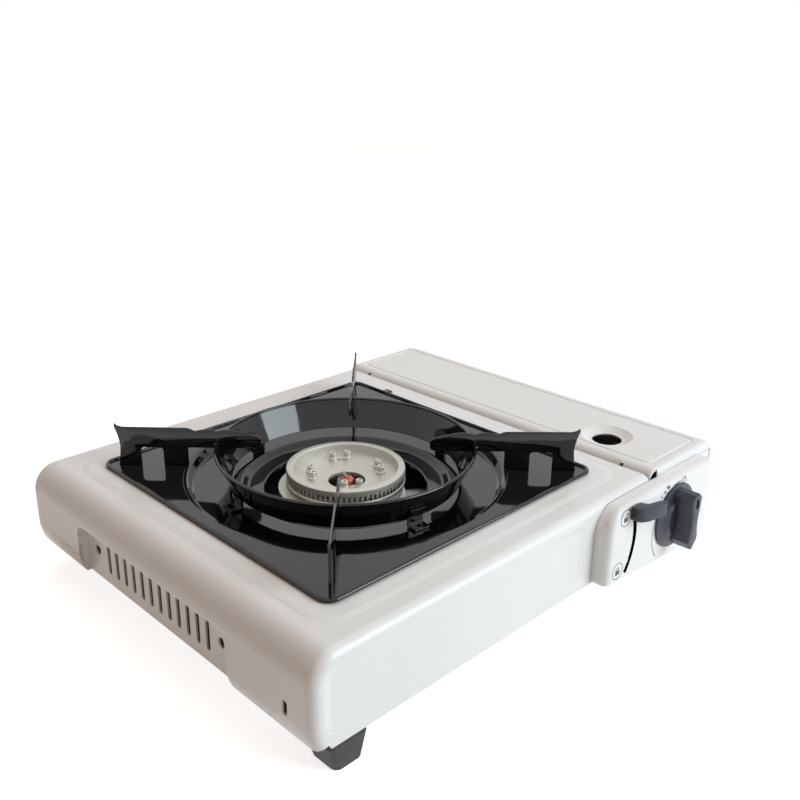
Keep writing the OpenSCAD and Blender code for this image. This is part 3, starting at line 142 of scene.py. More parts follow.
class StoveSizes(bpy.types.PropertyGroup):
    """Sizes of the modelled details."""
    grip_length: length_property("Grip Length", 38, "Length of the knob's grip over its points")
    grip_width: length_property("Grip Width", 11.0, "Width of the knob's grip at its shoulders")
    grip_waist: length_property("Grip Waist", 7.8, "Width of the knob's grip at its middle")
    grip_bevel: length_property("Grip Bevel", 1.3, "Chamfer round the front face of the grip")
    plateau_side: length_property(
        "Plateau Side", 235, "Side of the raised square round the drip pan", high=300)
    plateau_corner: length_property("Plateau Corner", 14, "Corner radius of the raised square")
    plateau_height: length_property("Plateau Height", 0.5, "Height of the raised square")
    field_width: length_property(
        "Field Width", 195, "Width of the recessed field of the front", high=300)
    field_height: length_property("Field Height", 36, "Height of the recessed field of the front")
    field_corner: length_property("Field Corner", 7, "Corner radius of the recessed field")
    field_depth: length_property("Field Depth", 0.8, "Depth of the recessed field")
    field_middle_x: length_property(
        "Field Middle", -69, "Middle of the recessed field along X", low=-150)
    field_middle_z: length_property(
        "Field Rise", 25, "Middle of the recessed field above the bottom edge")
    step_slope: length_property("Step Slope", 2.4, "Width over which a stamped step rises")
    step_round: length_property("Step Rounding", 0.9, "Rounding of a stamped step's edges")
    disc_drop: length_property("Disc Drop", 5.5, "Depth of the burner's disc below its rim")
    slot_top: length_property(
        "Flame Slot Top", 4.1, "Depth of the slots' upper end below the burner's rim")
    slot_height: length_property("Flame Slot Height", 3.2, "Height of the slots round the burner")
    slot_depth: length_property("Flame Slot Depth", 3.6, "Depth of the slots round the burner")
    jet_radius: length_property("Jet Radius", 2.3, "Radius of an inner jet")
    jet_circle: length_property(
        "Jet Circle", 21.2, "Radius of the circle on which the inner jets stand")
    jet_spacing: length_property("Jet Spacing", 9.1, "Distance between the two jets of a pair")
    opening_radius: length_property(
        "Opening Radius", 11.4, "Radius of the opening over the spark rod")
    edge_round: length_property(
        "Edge Rounding", 0.45, "Rounding of the pan support's sheet edges")
    grip_round: length_property("Lever Rounding", 0.6, "Rounding of the lever grip's edges")
    weld_size: length_property("Weld Size", 3.4, "Length of a weld bead between arm and ring")
    line_width: length_property("Line Width", 0.55, "Width of a printed line")
    ink_height: length_property("Ink Height", 0.05, "Thickness of the print on the panel")


class StoveStage(bpy.types.PropertyGroup):
    """Camera, lamps and floor."""
    camera_place: bpy.props.FloatVectorProperty(
        name="Camera Place", description="Where the camera stands", subtype="TRANSLATION",
        unit="LENGTH", size=3, default=(-0.38767, -0.38726, 0.32413))
    azimuth: bpy.props.FloatProperty(
        name="Azimuth", description="Direction in which the camera looks, from the front",
        subtype="ANGLE", default=math.radians(-43.189))
    elevation: bpy.props.FloatProperty(
        name="Elevation", description="Angle by which the camera looks down",
        subtype="ANGLE", default=math.radians(21.035))
    lens: bpy.props.FloatProperty(
        name="Lens", description="Focal length on a 36 mm sensor", unit="CAMERA",
        default=42.738)
    key_light: bpy.props.FloatProperty(
        name="Key Light", description="Power of the large lamp at the front right", min=0,
        default=26.0)
    top_light: bpy.props.FloatProperty(
        name="Top Light", description="Power of the large lamp overhead", min=0, default=11.0)
    room_light: bpy.props.FloatProperty(
        name="Room Light", description="Strength of the soft light from all sides", min=0,
        default=0.42)
    floor_glow: bpy.props.FloatProperty(
        name="Floor Glow", description="Light that the camera sees from the floor itself", min=0,
        default=0.78)


# ---------------------------------------------------------------- materials

def add(tree, kind, settings=None, links=None):
    """Adds a node, sets its sockets or properties, and links its inputs."""
    node = tree.nodes.new(kind)
    for name, value in (settings or {}).items():
        if isinstance(name, int) or name in node.inputs:
            if hasattr(value, "__len__") and len(value) == 3 and node.inputs[name].type == "RGBA":
                value = (*value, 1.0)
            node.inputs[name].default_value = value
        else:
            setattr(node, name, value)
    for name, socket in (links or {}).items():
        tree.links.new(socket, node.inputs[name])
    return node


def finish(name, colour, **settings):
    """A material with one Principled shader; settings go to the shader's own sockets."""
    material = bpy.data.materials.new(name)
    material.use_nodes = True
    material.diffuse_color = (*colour, 1.0)
    tree = material.node_tree
    tree.nodes.clear()
    shader = add(tree, "ShaderNodeBsdfPrincipled", {"Base Color": tuple(colour), **settings})
    add(tree, "ShaderNodeOutputMaterial", None, {"Surface": shader.outputs["BSDF"]})
    place = add(tree, "ShaderNodeTexCoord").outputs["Object"]
    return material, tree, shader, place


def surface_relief(tree, shader, place, size_mm, depth_mm, round_mm=0.0, detail=2.0):
    """Noise relief with a real grain size and depth, over edges rounded by round_mm."""
    noise = add(tree, "ShaderNodeTexNoise", {"Scale": MM_PER_M / size_mm, "Detail": detail},
                {"Vector": place})
    bump = add(tree, "ShaderNodeBump", {"Strength": 1.0, "Distance": depth_mm * MM},
               {"Height": noise.outputs["Fac"]})
    if round_mm:
        edge = add(tree, "ShaderNodeBevel", {"samples": 6, "Radius": round_mm * MM})
        tree.links.new(edge.outputs["Normal"], bump.inputs["Normal"])
    tree.links.new(bump.outputs["Normal"], shader.inputs["Normal"])


def two_tones(tree, shader, place, size_mm, first, second):
    """Soft drift between two close tones, as large as size_mm."""
    noise = add(tree, "ShaderNodeTexNoise", {"Scale": MM_PER_M / size_mm, "Detail": 3.0},
                {"Vector": place})
    ramp = add(tree, "ShaderNodeValToRGB", None, {"Fac": noise.outputs["Fac"]})
    # the noise lies mostly between these two places of the ramp
    for stop, position, colour in zip(ramp.color_ramp.elements, (0.35, 0.65), (first, second)):
        stop.position = position
        stop.color = (*colour, 1.0)
    tree.links.new(ramp.outputs["Color"], shader.inputs["Base Color"])


def uneven_gloss(tree, shader, place, size_mm, low, high):
    """Roughness that drifts between low and high over size_mm."""
    noise = add(tree, "ShaderNodeTexNoise", {"Scale": MM_PER_M / size_mm, "Detail": 4.0},
                {"Vector": place})
    span = add(tree, "ShaderNodeMapRange",
               {"From Min": 0.3, "From Max": 0.7, "To Min": low, "To Max": high},
               {"Value": noise.outputs["Fac"]})
    tree.links.new(span.outputs["Result"], shader.inputs["Roughness"])


def white_enamel():
    # Baked stoving enamel, sprayed on pressed steel: half gloss, with a faint
    # orange peel of about 2.5 mm
    colours = bpy.context.scene.stove_colours
    material, tree, shader, place = finish(
        "Stoving Enamel White", colours.white_enamel, Roughness=0.3, IOR=1.5)
    two_tones(tree, shader, place, 70.0, colours.white_enamel, colours.white_tone)
    uneven_gloss(tree, shader, place, 25.0, 0.29, 0.32)
    surface_relief(tree, shader, place, 2.5, 0.003)
    return material


def black_enamel():
    # Vitreous enamel fired on steel: a glassy skin whose slow waves of about
    # 16 mm bend the reflections, darker than any paint
    colours = bpy.context.scene.stove_colours
    material, tree, shader, place = finish(
        "Vitreous Enamel Black", colours.black_enamel, Roughness=0.05, IOR=1.52)
    uneven_gloss(tree, shader, place, 18.0, 0.035, 0.09)
    surface_relief(tree, shader, place, 16.0, 0.10, 0.5, detail=1.5)
    return material


def cast_aluminium():
    # Die-cast and tumbled aluminium: matt beige-grey skin with a grain that is
    # drawn at 0.9 mm, coarser than the real 0.3 mm, so that it shows
    colours = bpy.context.scene.stove_colours
    material, tree, shader, place = finish(
        "Die Cast Aluminium", colours.cast_metal, Metallic=0.45, Roughness=0.6)
    two_tones(tree, shader, place, 6.0, colours.cast_metal, shade(colours.cast_metal, 0.93))
    surface_relief(tree, shader, place, 0.9, 0.05, 0.3)
    return material


def turned_aluminium():
    # Aluminium turned after casting: brighter, with tool marks that are drawn at
    # 0.6 mm, coarser than real ones, so that they show
    colours = bpy.context.scene.stove_colours
    material, tree, shader, place = finish(
        "Turned Aluminium", colours.turned_metal, Metallic=0.6, Roughness=0.44)
    uneven_gloss(tree, shader, place, 4.0, 0.38, 0.5)
    surface_relief(tree, shader, place, 0.6, 0.01, 0.25)
    return material


def plated_steel():
    # Zinc-plated sheet: a fine spangle of about 3 mm in its gloss
    colours = bpy.context.scene.stove_colours
    material, tree, shader, place = finish(
        "Zinc Plated Steel", colours.plated_steel, Metallic=0.85, Roughness=0.42)
    uneven_gloss(tree, shader, place, 3.0, 0.36, 0.5)
    surface_relief(tree, shader, place, 1.5, 0.008, 0.3)
    return material


def painted_shade_black():
    # Painted shade: dull black for slot walls, jet bores and the panel's inside, where deep shade
    # falls; it swallows light
    colours = bpy.context.scene.stove_colours
    material, tree, shader, place = finish(
        "Painted Shade Black", colours.painted_shade, Roughness=0.9, IOR=1.2)
    two_tones(tree, shader, place, 2.0, colours.painted_shade, shade(colours.painted_shade, 1.6))
    return material


def turned_brass():
    # Brass turned from bar: warm yellow with tool marks about 0.4 mm apart
    colours = bpy.context.scene.stove_colours
    material, tree, shader, place = finish(
        "Turned Brass", colours.brass, Metallic=1.0, Roughness=0.3)
    uneven_gloss(tree, shader, place, 1.2, 0.22, 0.38)
    surface_relief(tree, shader, place, 0.4, 0.01, 0.2)
    return material


def knob_plastic():
    # Heat-resistant plastic moulded in an eroded tool: blue-grey, satin, with
    # a fine pitted skin drawn at 0.5 mm
    colours = bpy.context.scene.stove_colours
    material, tree, shader, place = finish(
        "Satin Phenolic Plastic", colours.knob_plastic, Roughness=0.42, IOR=1.52)
    uneven_gloss(tree, shader, place, 9.0, 0.36, 0.5)
    surface_relief(tree, shader, place, 0.5, 0.012)
    return material


def foot_plastic():
    # Polypropylene moulded smooth: navy black, with a waxy sheen
    colours = bpy.context.scene.stove_colours
    material, tree, shader, place = finish(
        "Polypropylene Dark", colours.foot_plastic, Roughness=0.5, IOR=1.49)
    uneven_gloss(tree, shader, place, 8.0, 0.46, 0.58)
    surface_relief(tree, shader, place, 0.7, 0.015, 0.6)
    return material


def sealing_rubber():
    # Moulded nitrile rubber: matt black with a dusty bloom
    colours = bpy.context.scene.stove_colours
    material, tree, shader, place = finish(
        "Nitrile Rubber", colours.rubber, Roughness=0.7, IOR=1.52)
    two_tones(tree, shader, place, 5.0, colours.rubber, shade(colours.rubber, 1.5))
    surface_relief(tree, shader, place, 0.8, 0.02)
    return material


def glazed_ceramic():
    # Glazed steatite: salmon red, fired glossy, a little darker where the
    # glaze has run thin
    colours = bpy.context.scene.stove_colours
    material, tree, shader, place = finish(
        "Glazed Steatite", colours.ceramic, Roughness=0.22, IOR=1.5)
    two_tones(tree, shader, place, 3.0, colours.ceramic, shade(colours.ceramic, 0.82))
    surface_relief(tree, shader, place, 1.5, 0.02, 0.3)
    return material


def screen_ink():
    # Screen-printed ink: grey-black, matt, and a little thin in places
    colours = bpy.context.scene.stove_colours
    material, tree, shader, place = finish(
        "Screen Print Ink", colours.print_ink, Roughness=0.6, IOR=1.5)
    two_tones(tree, shader, place, 1.5, colours.print_ink, shade(colours.print_ink, 1.35))
    return material


# one finish here is black painted shade, for slots, bores and the panel's inside
FINISHES = {
    "enamel_white": white_enamel, "enamel_black": black_enamel,
    "cast_aluminium": cast_aluminium, "turned": turned_aluminium, "painted_shade": painted_shade_black,
    "steel": plated_steel, "brass": turned_brass,
    "dark_plastic": knob_plastic, "foot_plastic": foot_plastic, "rubber": sealing_rubber,
    "ceramic": glazed_ceramic, "ink": screen_ink,
}
MADE = {}


def material_of(slot):
    """The finish of a material slot, made once."""
    if slot not in MADE:
        MADE[slot] = FINISHES[slot]()
    return MADE[slot]


def dress(node, slot):
    """Gives a CAD node the finish of a slot."""
    mesh = CAD[node].data
    mesh.materials.clear()
    mesh.materials.append(material_of(slot))


def dress_slot(slot):
    """Gives all the CAD nodes of one material slot in the record their finish."""
    nodes = [part["node"] for part in frame["record"]["subparts"]
             if part["material_slot"] == slot]
    if not nodes:
        raise RuntimeError(f"no node has the slot {slot}")
    for node in nodes:
        dress(node, slot)


# ---------------------------------------------------------------- mesh helpers

def verts_of(geom):
    """The vertices among some mesh elements."""
    return [item for item in geom if isinstance(item, bmesh.types.BMVert)]


def edges_at(verts):
    """The edges at some vertices, each once and in a fixed order."""
    return list(dict.fromkeys(edge for vert in verts for edge in vert.link_edges))


def turned(bm, profile, centre, axis, steps):
    """Spins a profile of points round an axis by a full, closed turn."""
    verts = [bm.verts.new(point) for point in profile]
    edges = [bm.edges.new(pair) for pair in zip(verts, verts[1:])]
    bmesh.ops.spin(bm, geom=verts + edges, cent=centre, axis=axis, angle=FULL_TURN, steps=steps,
                   use_merge=True)
    bmesh.ops.remove_doubles(bm, verts=bm.verts, dist=MERGE_NEW)
    bmesh.ops.recalc_face_normals(bm, faces=bm.faces)


def prism(bm, outline, depth):
    """Extrudes a flat outline of points along the vector depth, as a closed block."""
    face = bm.faces.new([bm.verts.new(point) for point in outline])
    grown = bmesh.ops.extrude_face_region(bm, geom=[face])["geom"]
    bmesh.ops.translate(bm, vec=depth, verts=verts_of(grown))
    bmesh.ops.recalc_face_normals(bm, faces=bm.faces)


def bevel(bm, edges, width, segments):
    """Rounds edges by a width."""
    bmesh.ops.bevel(bm, geom=edges, offset=width, segments=segments, profile=0.5,
                    affect="EDGES", clamp_overlap=True, material=-1)


def piece(name, bm, slot, body, sharp=35):
    """Turns a bmesh into a finished piece that rides on a body."""
    mesh = bpy.data.meshes.new(name)
    bm.to_mesh(mesh)
    bm.free()
    mesh.shade_smooth()
    mesh.set_sharp_from_angle(angle=math.radians(sharp))
    mesh.materials.append(material_of(slot))
    made = bpy.data.objects.new(name, mesh)
    bpy.context.scene.collection.objects.link(made)
    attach(made, body)
    return made


def set_finishes(made, slots):
    """Gives a piece several finishes, in the order of its faces' material indices."""
    made.data.materials.clear()
    for slot in slots:
        made.data.materials.append(material_of(slot))


def merged_copy(node):
    """A bmesh of a CAD node with its doubled vertices and flat seams merged."""
    bm = bmesh.new()
    bm.from_mesh(CAD[node].data)
    bmesh.ops.remove_doubles(bm, verts=bm.verts, dist=MERGE_CAD)
    bmesh.ops.dissolve_limit(bm, angle_limit=math.radians(0.5), verts=bm.verts,
                             edges=bm.edges)
    return bm


def outline_normal(u, v, half_u, half_v, radius):
    """Outward direction at a point of a rounded rectangle's outline, or None off it."""
    over_u, over_v = abs(u) - half_u + radius, abs(v) - half_v + radius
    if over_u > MERGE_NEW and over_v > MERGE_NEW:
        away = Vector((over_u, over_v))
        if abs(away.length - radius) > ON_CORNER:
            return None
        away.normalize()
    elif abs(over_u - radius) < ON_OUTLINE and over_v <= MERGE_NEW:
        away = Vector((1, 0))
    elif abs(over_v - radius) < ON_OUTLINE and over_u <= MERGE_NEW:
        away = Vector((0, 1))
    else:
        return None
    return Vector((math.copysign(away.x, u), math.copysign(away.y, v)))


def stamped_step(bm, axis, middle_point, half_u, half_v, radius, levels):
    """Slopes the wall of a stamped step and returns the edges of its outlines.

    Each (level, spread) moves the outline at that level outwards by spread. The
    outlines lie across the axis (1 = Y, 2 = Z).
    """
    v_axis = 3 - axis
    found = []
    for level, spread in levels:
        moved = {}
        for vert in bm.verts:
            if abs(vert.co[axis] - level) < SAME_LEVEL:
                away = outline_normal(vert.co.x - middle_point[0],
                                      vert.co[v_axis] - middle_point[1],
                                      half_u, half_v, radius)
                if away is not None:
                    moved[vert] = away
        if not moved:
            raise RuntimeError(f"no outline at {level}")
        found += [e for e in bm.edges if e.verts[0] in moved and e.verts[1] in moved]
        for vert, away in moved.items():
            vert.co.x += away.x * spread
            vert.co[v_axis] += away.y * spread
    return found


def rounded_copy(node, name, slot, body, width, angle=30, segments=2):
    """A copy of a CAD node whose edges are rounded, in place of the node."""
    bm = merged_copy(node)
    edges = [e for e in bm.edges if len(e.link_faces) == 2
             and e.calc_face_angle(0) > math.radians(angle)]
    bevel(bm, edges, width, segments)
    made = piece(name, bm, slot, body)
    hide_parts(node)
    return made


# ---------------------------------------------------------------- operators

class STOVE_OT_enamelled_shell(bpy.types.Operator):
    """Enamels lid, panel and housing, whose stamped steps are sloped and rounded"""
    bl_idname = "stove.enamelled_shell"
    bl_label = "Enamelled Shell"

    # the lever's slot runs round the pivot between these radii, through the
    # panel's front sheet
    slot_inner, slot_outer = 38 * MM, 44 * MM
    front_sheet = 2 * MM
    front_skin = 0.3 * MM

    def execute(self, context):
        sizes = context.scene.stove_sizes
        dress_slot("enamel_white")
        bm = merged_copy("housing")
        side = sizes.plateau_side / 2
        steps = stamped_step(bm, 2, PAN_CENTRE.xy, side, side, sizes.plateau_corner,
                             [(PLATEAU_TOP, 0),
                              (PLATEAU_TOP - sizes.plateau_height, sizes.step_slope)])
        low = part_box("housing")[0]
        field = (sizes.field_middle_x, low.z + sizes.field_middle_z)
        steps += stamped_step(bm, 1, field, sizes.field_width / 2, sizes.field_height / 2,
                              sizes.field_corner,
                              [(low.y, 0), (low.y + sizes.field_depth, -sizes.step_slope)])
        bevel(bm, steps, sizes.step_round, 3)
        made = piece("pressed_housing", bm, "enamel_white", "stove_body", sharp=30)
        made.modifiers.new("flat_sheets", "WEIGHTED_NORMAL").keep_sharp = True
        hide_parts("housing")
        # the panel is enamelled on its outside; its slot and inside are painted black, as painted
        # shade
        panel = CAD["control_panel"].data
        panel.materials.append(material_of("painted_shade"))
        centre, pivot = middle("control_panel"), middle("lever_pivot")
        for face in panel.polygons:
            from_middle = face.center - centre
            inwards = (face.normal.x * from_middle.x + face.normal.z * from_middle.z
                       < -SAME_PLACE)
            reach = (face.center - pivot).xz.length
            in_slot = (abs(face.normal.y) < 0.1 and self.slot_inner < reach < self.slot_outer
                       and face.center.y < PANEL_FACE + self.front_sheet)
            behind = face.center.y > PANEL_FACE + self.front_skin
            # these faces get the black painted shade
            if behind and (inwards or in_slot or face.normal.y > 0.5):
                face.material_index = 1
        return {"FINISHED"}


class STOVE_OT_drip_pan(bpy.types.Operator):
    """Enamels the drip pan and the feet of the ring"""
    bl_idname = "stove.drip_pan"
    bl_label = "Drip Pan"

    def execute(self, context):
        dress_slot("enamel_black")
        return {"FINISHED"}


class STOVE_OT_pan_support(bpy.types.Operator):
    """Makes the four arms with rounded sheet edges, and their welds to the ring"""
    bl_idname = "stove.pan_support"
    bl_label = "Pan Support"

    arm_half = 0.7 * MM
    # a bead's middle, inside the ring, beside the arm and below the ring's top
    bead_inset, bead_aside, bead_drop = 0.6 * MM, 0.5 * MM, 0.9 * MM
    bead_half_width, bead_half_height = 1.3 * MM, 1.1 * MM

    def execute(self, context):
        sizes = context.scene.stove_sizes
        for number in range(1, len(ARM_ANGLES) + 1):
            rounded_copy(f"pan_arm_{number}", f"arm_{number}", "enamel_black", "drip_tray",
                         sizes.edge_round)
        for number, degrees in enumerate(ARM_ANGLES, 1):
            turn = Matrix.Rotation(math.radians(degrees), 4, "Z")
            bm = bmesh.new()
            for side in (-1, 1):
                # a flattened bead of enamelled weld in the corner of arm and ring
                place = (Matrix.Translation(PAN_CENTRE) @ turn
                         @ Matrix.Translation((RING_RADIUS - self.bead_inset,
                                               side * (self.arm_half + self.bead_aside),
                                               RING_TOP - self.bead_drop))
                         @ Matrix.Diagonal((sizes.weld_size / 2, self.bead_half_width,
                                            self.bead_half_height, 1)))
                bmesh.ops.create_uvsphere(bm, u_segments=16, v_segments=10, radius=1.0,
                                          matrix=place)
            piece(f"weld_{number}", bm, "enamel_black", "drip_tray")
        return {"FINISHED"}


class STOVE_OT_burner(bpy.types.Operator):
    """Makes the burner's head with its sunken disc and flame slots, and the inner jets"""
    bl_idname = "stove.burner"
    bl_label = "Burner"

    slot_count = 72
    # a slot and the bar beside it take eight steps of the band, five of them open
    slot_steps, open_steps = 8, 5
    disc_sheet = 1.8 * MM
    disc_gap = 5.1 * MM
    opening_place = Vector((-6, -7.5, 0))
    # degrees from +X to the first pair of jets, and the jets' heights over the disc
    jet_turn = 58
    jet_top = 5.2
    jet_floor = 1.0
    # the last finish of head and of jets is black painted shade, for the slots and the bores
    head_finishes = ("turned", "cast_aluminium", "painted_shade")
    jet_finishes = ("turned", "painted_shade")

    def head(self, sizes):
        """Rim, slotted band and disc of the head."""
        bm = bmesh.new()
        steps = self.slot_steps * self.slot_count
        high = -sizes.slot_top / MM
        low = high - sizes.slot_height / MM
        # millimetres past the rim's outside and over its top
        profile = [(-5.4, -7.9), (-4.9, -1.4), (-4.7, -0.4), (-4.2, 0), (-0.9, -0.1),
                   (-0.25, -0.45), (0, -1.1), (0, high + 0.6), (-0.45, high + 0.3),
                   (-0.45, high), (-0.45, low), (-0.45, -7.9), (-5.4, -7.9)]
        turned(bm, [PAN_CENTRE + Vector((BURNER_RADIUS + r * MM, 0, BURNER_TOP + z * MM))
                    for r, z in profile], PAN_CENTRE, UP, steps)
        # the band's open steps are pushed in as slots
        slots = []
        for face in bm.faces:
            place = face.calc_center_median() - PAN_CENTRE
            height = (place.z - BURNER_TOP) / MM
            step = int((math.atan2(place.y, place.x) % FULL_TURN) / FULL_TURN * steps)
            on_band = low < height < high and place.xy.length > BURNER_RADIUS - 1 * MM
            if on_band and step % self.slot_steps < self.open_steps:
                slots.append(face)
        grown = bmesh.ops.extrude_face_region(bm, geom=slots)["geom"]
        for vert in verts_of(grown):
            away = (vert.co - PAN_CENTRE).xy.normalized() * sizes.slot_depth
            vert.co -= Vector((away.x, away.y, 0))
        # the slots' walls and backs are painted black, as painted shade inside them
        for face in bm.faces:
            place = face.calc_center_median() - PAN_CENTRE
            height = (place.z - BURNER_TOP) / MM
            inside = (BURNER_RADIUS - 4.8 * MM < place.xy.length
                      < BURNER_RADIUS - 0.5 * MM)
            if inside and low - 0.1 < height < high + 0.1:
                face.material_index = self.head_finishes.index("painted_shade")
        # disc with a round opening over the spark rod
        level = BURNER_TOP - sizes.disc_drop
        edges = []
        opening = PAN_CENTRE + self.opening_place * MM
        for centre, radius in ((PAN_CENTRE, BURNER_RADIUS - self.disc_gap),
                               (opening, sizes.opening_radius)):
            place = Matrix.Translation((centre.x, centre.y, level))
            edges += edges_at(bmesh.ops.create_circle(bm, segments=96, radius=radius,
                                                      matrix=place)["verts"])
        plate = [f for f in bmesh.ops.triangle_fill(bm, edges=edges, use_beauty=True)["geom"]
                 if isinstance(f, bmesh.types.BMFace)]
        grown = bmesh.ops.extrude_face_region(bm, geom=plate, use_keep_orig=True)["geom"]
        bmesh.ops.translate(bm, vec=(0, 0, -self.disc_sheet), verts=verts_of(grown))
        slack = 0.1 * MM
        for face in bm.faces:
            on_disc = (all(level - self.disc_sheet - slack < v.co.z < level + slack
                           for v in face.verts)
                       and max((v.co - PAN_CENTRE).xy.length for v in face.verts)
                       < BURNER_RADIUS - self.disc_gap + slack)
            if on_disc and face.material_index == 0:
                face.material_index = self.head_finishes.index("cast_aluminium")
        bmesh.ops.recalc_face_normals(bm, faces=bm.faces)
        made = piece("burner_casting", bm, "cast_aluminium", "stove_body")
        set_finishes(made, self.head_finishes)
        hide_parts("burner_head")

    def jets(self, sizes):
        """Four pairs of bored jets, joined by small bridges."""
        bm = bmesh.new()
        base = BURNER_TOP - sizes.disc_drop
        top, floor, wall = self.jet_top, self.jet_floor, sizes.jet_radius / MM
        # millimetres from a jet's axis and over the disc: the bore, then the outside
        profile = [(0, floor), (1.0, floor), (1.0, top - 0.35), (1.3, top), (wall - 0.35, top),
                   (wall, top - 0.35), (wall, 1.9), (wall + 0.6, 1.5), (wall + 0.7, 1.2),
                   (wall + 0.7, -0.3), (0, -0.3)]
        for quarter in range(4):
            degrees = self.jet_turn + 90 * quarter
            turn = (Matrix.Translation(PAN_CENTRE)
                    @ Matrix.Rotation(math.radians(degrees), 4, "Z"))
            for side in (-1, 1):
                foot = turn @ Vector((sizes.jet_circle, side * sizes.jet_spacing / 2, base))
                turned(bm, [foot + Vector((r * MM, 0, z * MM)) for r, z in profile],
                       foot, UP, 40)
            place = (turn @ Matrix.Translation((sizes.jet_circle, 0, base + 0.6 * MM))
                     @ Matrix.Diagonal((3.2 * MM, sizes.jet_spacing - 5 * MM, 1.8 * MM, 1)))
            bridge = bmesh.ops.create_cube(bm, size=1.0, matrix=place)["verts"]
            bevel(bm, edges_at(bridge), 0.4 * MM, 2)
        # the floor of each bore is painted black, as painted shade down the bore
        for face in bm.faces:
            if all(abs(v.co.z - base - floor * MM) < SAME_PLACE for v in face.verts):
                face.material_index = self.jet_finishes.index("painted_shade")
        made = piece("inner_jets", bm, "cast_aluminium", "stove_body")
        set_finishes(made, self.jet_finishes)
        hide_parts("burner_jets")

    def spark_sleeve(self):
        """Glazed sleeve that stands up through the opening, round the spark rod."""
        bm = bmesh.new()
        foot = middle("electrode_insulator")
        foot.z = BURNER_TOP
        low = (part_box("electrode_insulator")[0].z - BURNER_TOP) / MM
        # millimetres from the sleeve's axis and over the burner's rim
        profile = [(0, low), (3.2, low), (3.2, -5), (4.0, -4.5), (4.2, -4), (4.2, -1.6),
                   (3.6, -0.8), (2.2, -0.4), (1.4, -0.5), (1.2, -1.0), (0, -1.0)]
        turned(bm, [foot + Vector((r * MM, 0, z * MM)) for r, z in profile], foot, UP, 48)
        made = piece("spark_sleeve", bm, "ceramic", "stove_body")
        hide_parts("electrode_insulator")

    def execute(self, context):
        sizes = context.scene.stove_sizes
        dress_slot("cast_aluminium")
        self.spark_sleeve()
        dress("flame_ring", "turned")
        dress("burner_base", "turned")
        self.head(sizes)
        self.jets(sizes)
        return {"FINISHED"}


class STOVE_OT_gas_train(bpy.types.Operator):
    """Finishes the steel, brass and rubber pieces inside the housing"""
    bl_idname = "stove.gas_train"
    bl_label = "Gas Train"

    def execute(self, context):
        for slot in ("steel", "brass", "rubber", "dark_plastic"):
            dress_slot(slot)
        return {"FINISHED"}


class STOVE_OT_knob(bpy.types.Operator):
    """Makes the knob: a round skirt and a waisted, pointed grip with chamfers"""
    bl_idname = "stove.knob"
    bl_label = "Knob"

    # the skirt's half section: millimetres from the axis and before the back face.
    # Its hub keeps its radius, and the rest grows to the CAD knob's radius
    skirt = ((0, -4.2), (11.5, -4.0), (13, -3.0), (15, -2.1), (20.2, -1.5), (20.8, -1.25),
             (21, -0.8), (21, 0), (3.05, 0))
    skirt_radius, hub_radius = 21, 4
    # the grip's right side, from its blunt upper end past shoulders and waist to
    # its pointed lower end: shares of the half length, and of the way from the
    # waist's width to the shoulders', or of the shoulders' width at the two tips
    grip_side = ((0.98, 0.45), (0.84, 1.0), (0.55, 0.86), (0.3, 0.3), (0.0, 0.0),
                 (-0.3, 0.3), (-0.55, 0.86), (-0.7, 0.95), (-1.0, 0.12))
    tip_share = 0.95
    grip_sunk = 1.2 * MM
    pocket_radius, pocket_stretch, pocket_depth = 1.5 * MM, 1.8 * MM, 1.0 * MM
    pocket_from_end = 6.5 * MM

    @staticmethod
    def on_front(face):
        """Whether a face lies in the plane of the grip's front."""
        return all(abs(v.co.y - KNOB_FRONT) < SAME_PLACE for v in face.verts)

    def execute(self, context):
        sizes = context.scene.stove_sizes
        x, z = KNOB_AXIS.x, KNOB_AXIS.z
        bm = bmesh.new()
        scale = KNOB_RADIUS / (self.skirt_radius * MM)
        profile = [Vector((x + r * MM * (scale if r > self.hub_radius else 1),
                           KNOB_BACK + y * MM, z)) for r, y in self.skirt]
        turned(bm, profile + [Vector((x, KNOB_BACK, z))], Vector((x, 0, z)), BACKWARDS, 128)
        half, wide, waist = sizes.grip_length / 2, sizes.grip_width / 2, sizes.grip_waist / 2
        outline = []
        for along, share in self.grip_side:
            breadth = (waist + (wide - waist) * share if abs(along) < self.tip_share
                       else wide * share)
            outline.append((breadth, along * half))
        plan = outline + [(-b, a) for b, a in reversed(outline)]
        points = [Vector((x + b, KNOB_BACK - self.grip_sunk, z + a)) for b, a in plan]
        start = len(bm.faces)
        prism(bm, points, Vector((0, KNOB_FRONT - KNOB_BACK + self.grip_sunk, 0)))
        bm.faces.ensure_lookup_table()
        front = [f for f in bm.faces[start:] if self.on_front(f)]
        edges = list(dict.fromkeys(e for f in front for e in f.edges))
        bevel(bm, edges, sizes.grip_bevel, 2)
        # pocket near the upper end, where the pointer's paint goes
        front = max((f for f in bm.faces if self.on_front(f)), key=lambda f: f.calc_area())
        rim = list(front.edges)
        bmesh.ops.delete(bm, geom=[front], context="FACES_ONLY")
        height = z + half - self.pocket_from_end
        pocket = bmesh.ops.create_circle(
            bm, segments=24, radius=self.pocket_radius,
            matrix=Matrix.Translation((x, KNOB_FRONT, height)) @ FACING_FRONT)["verts"]
        for vert in pocket:
            vert.co.z += math.copysign(self.pocket_stretch, vert.co.z - height)
        loop = edges_at(pocket)
        bmesh.ops.triangle_fill(bm, edges=rim + loop, use_beauty=True)
        walls = bmesh.ops.extrude_edge_only(bm, edges=loop)["geom"]
        bmesh.ops.translate(bm, vec=(0, self.pocket_depth, 0), verts=verts_of(walls))
        bmesh.ops.edgeloop_fill(bm, edges=[e for e in walls if isinstance(e, bmesh.types.BMEdge)
                                           and e.is_boundary])
        bmesh.ops.recalc_face_normals(bm, faces=bm.faces)
        made = piece("knob_moulding", bm, "dark_plastic", "knob", sharp=24)
        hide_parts("knob")
        return {"FINISHED"}


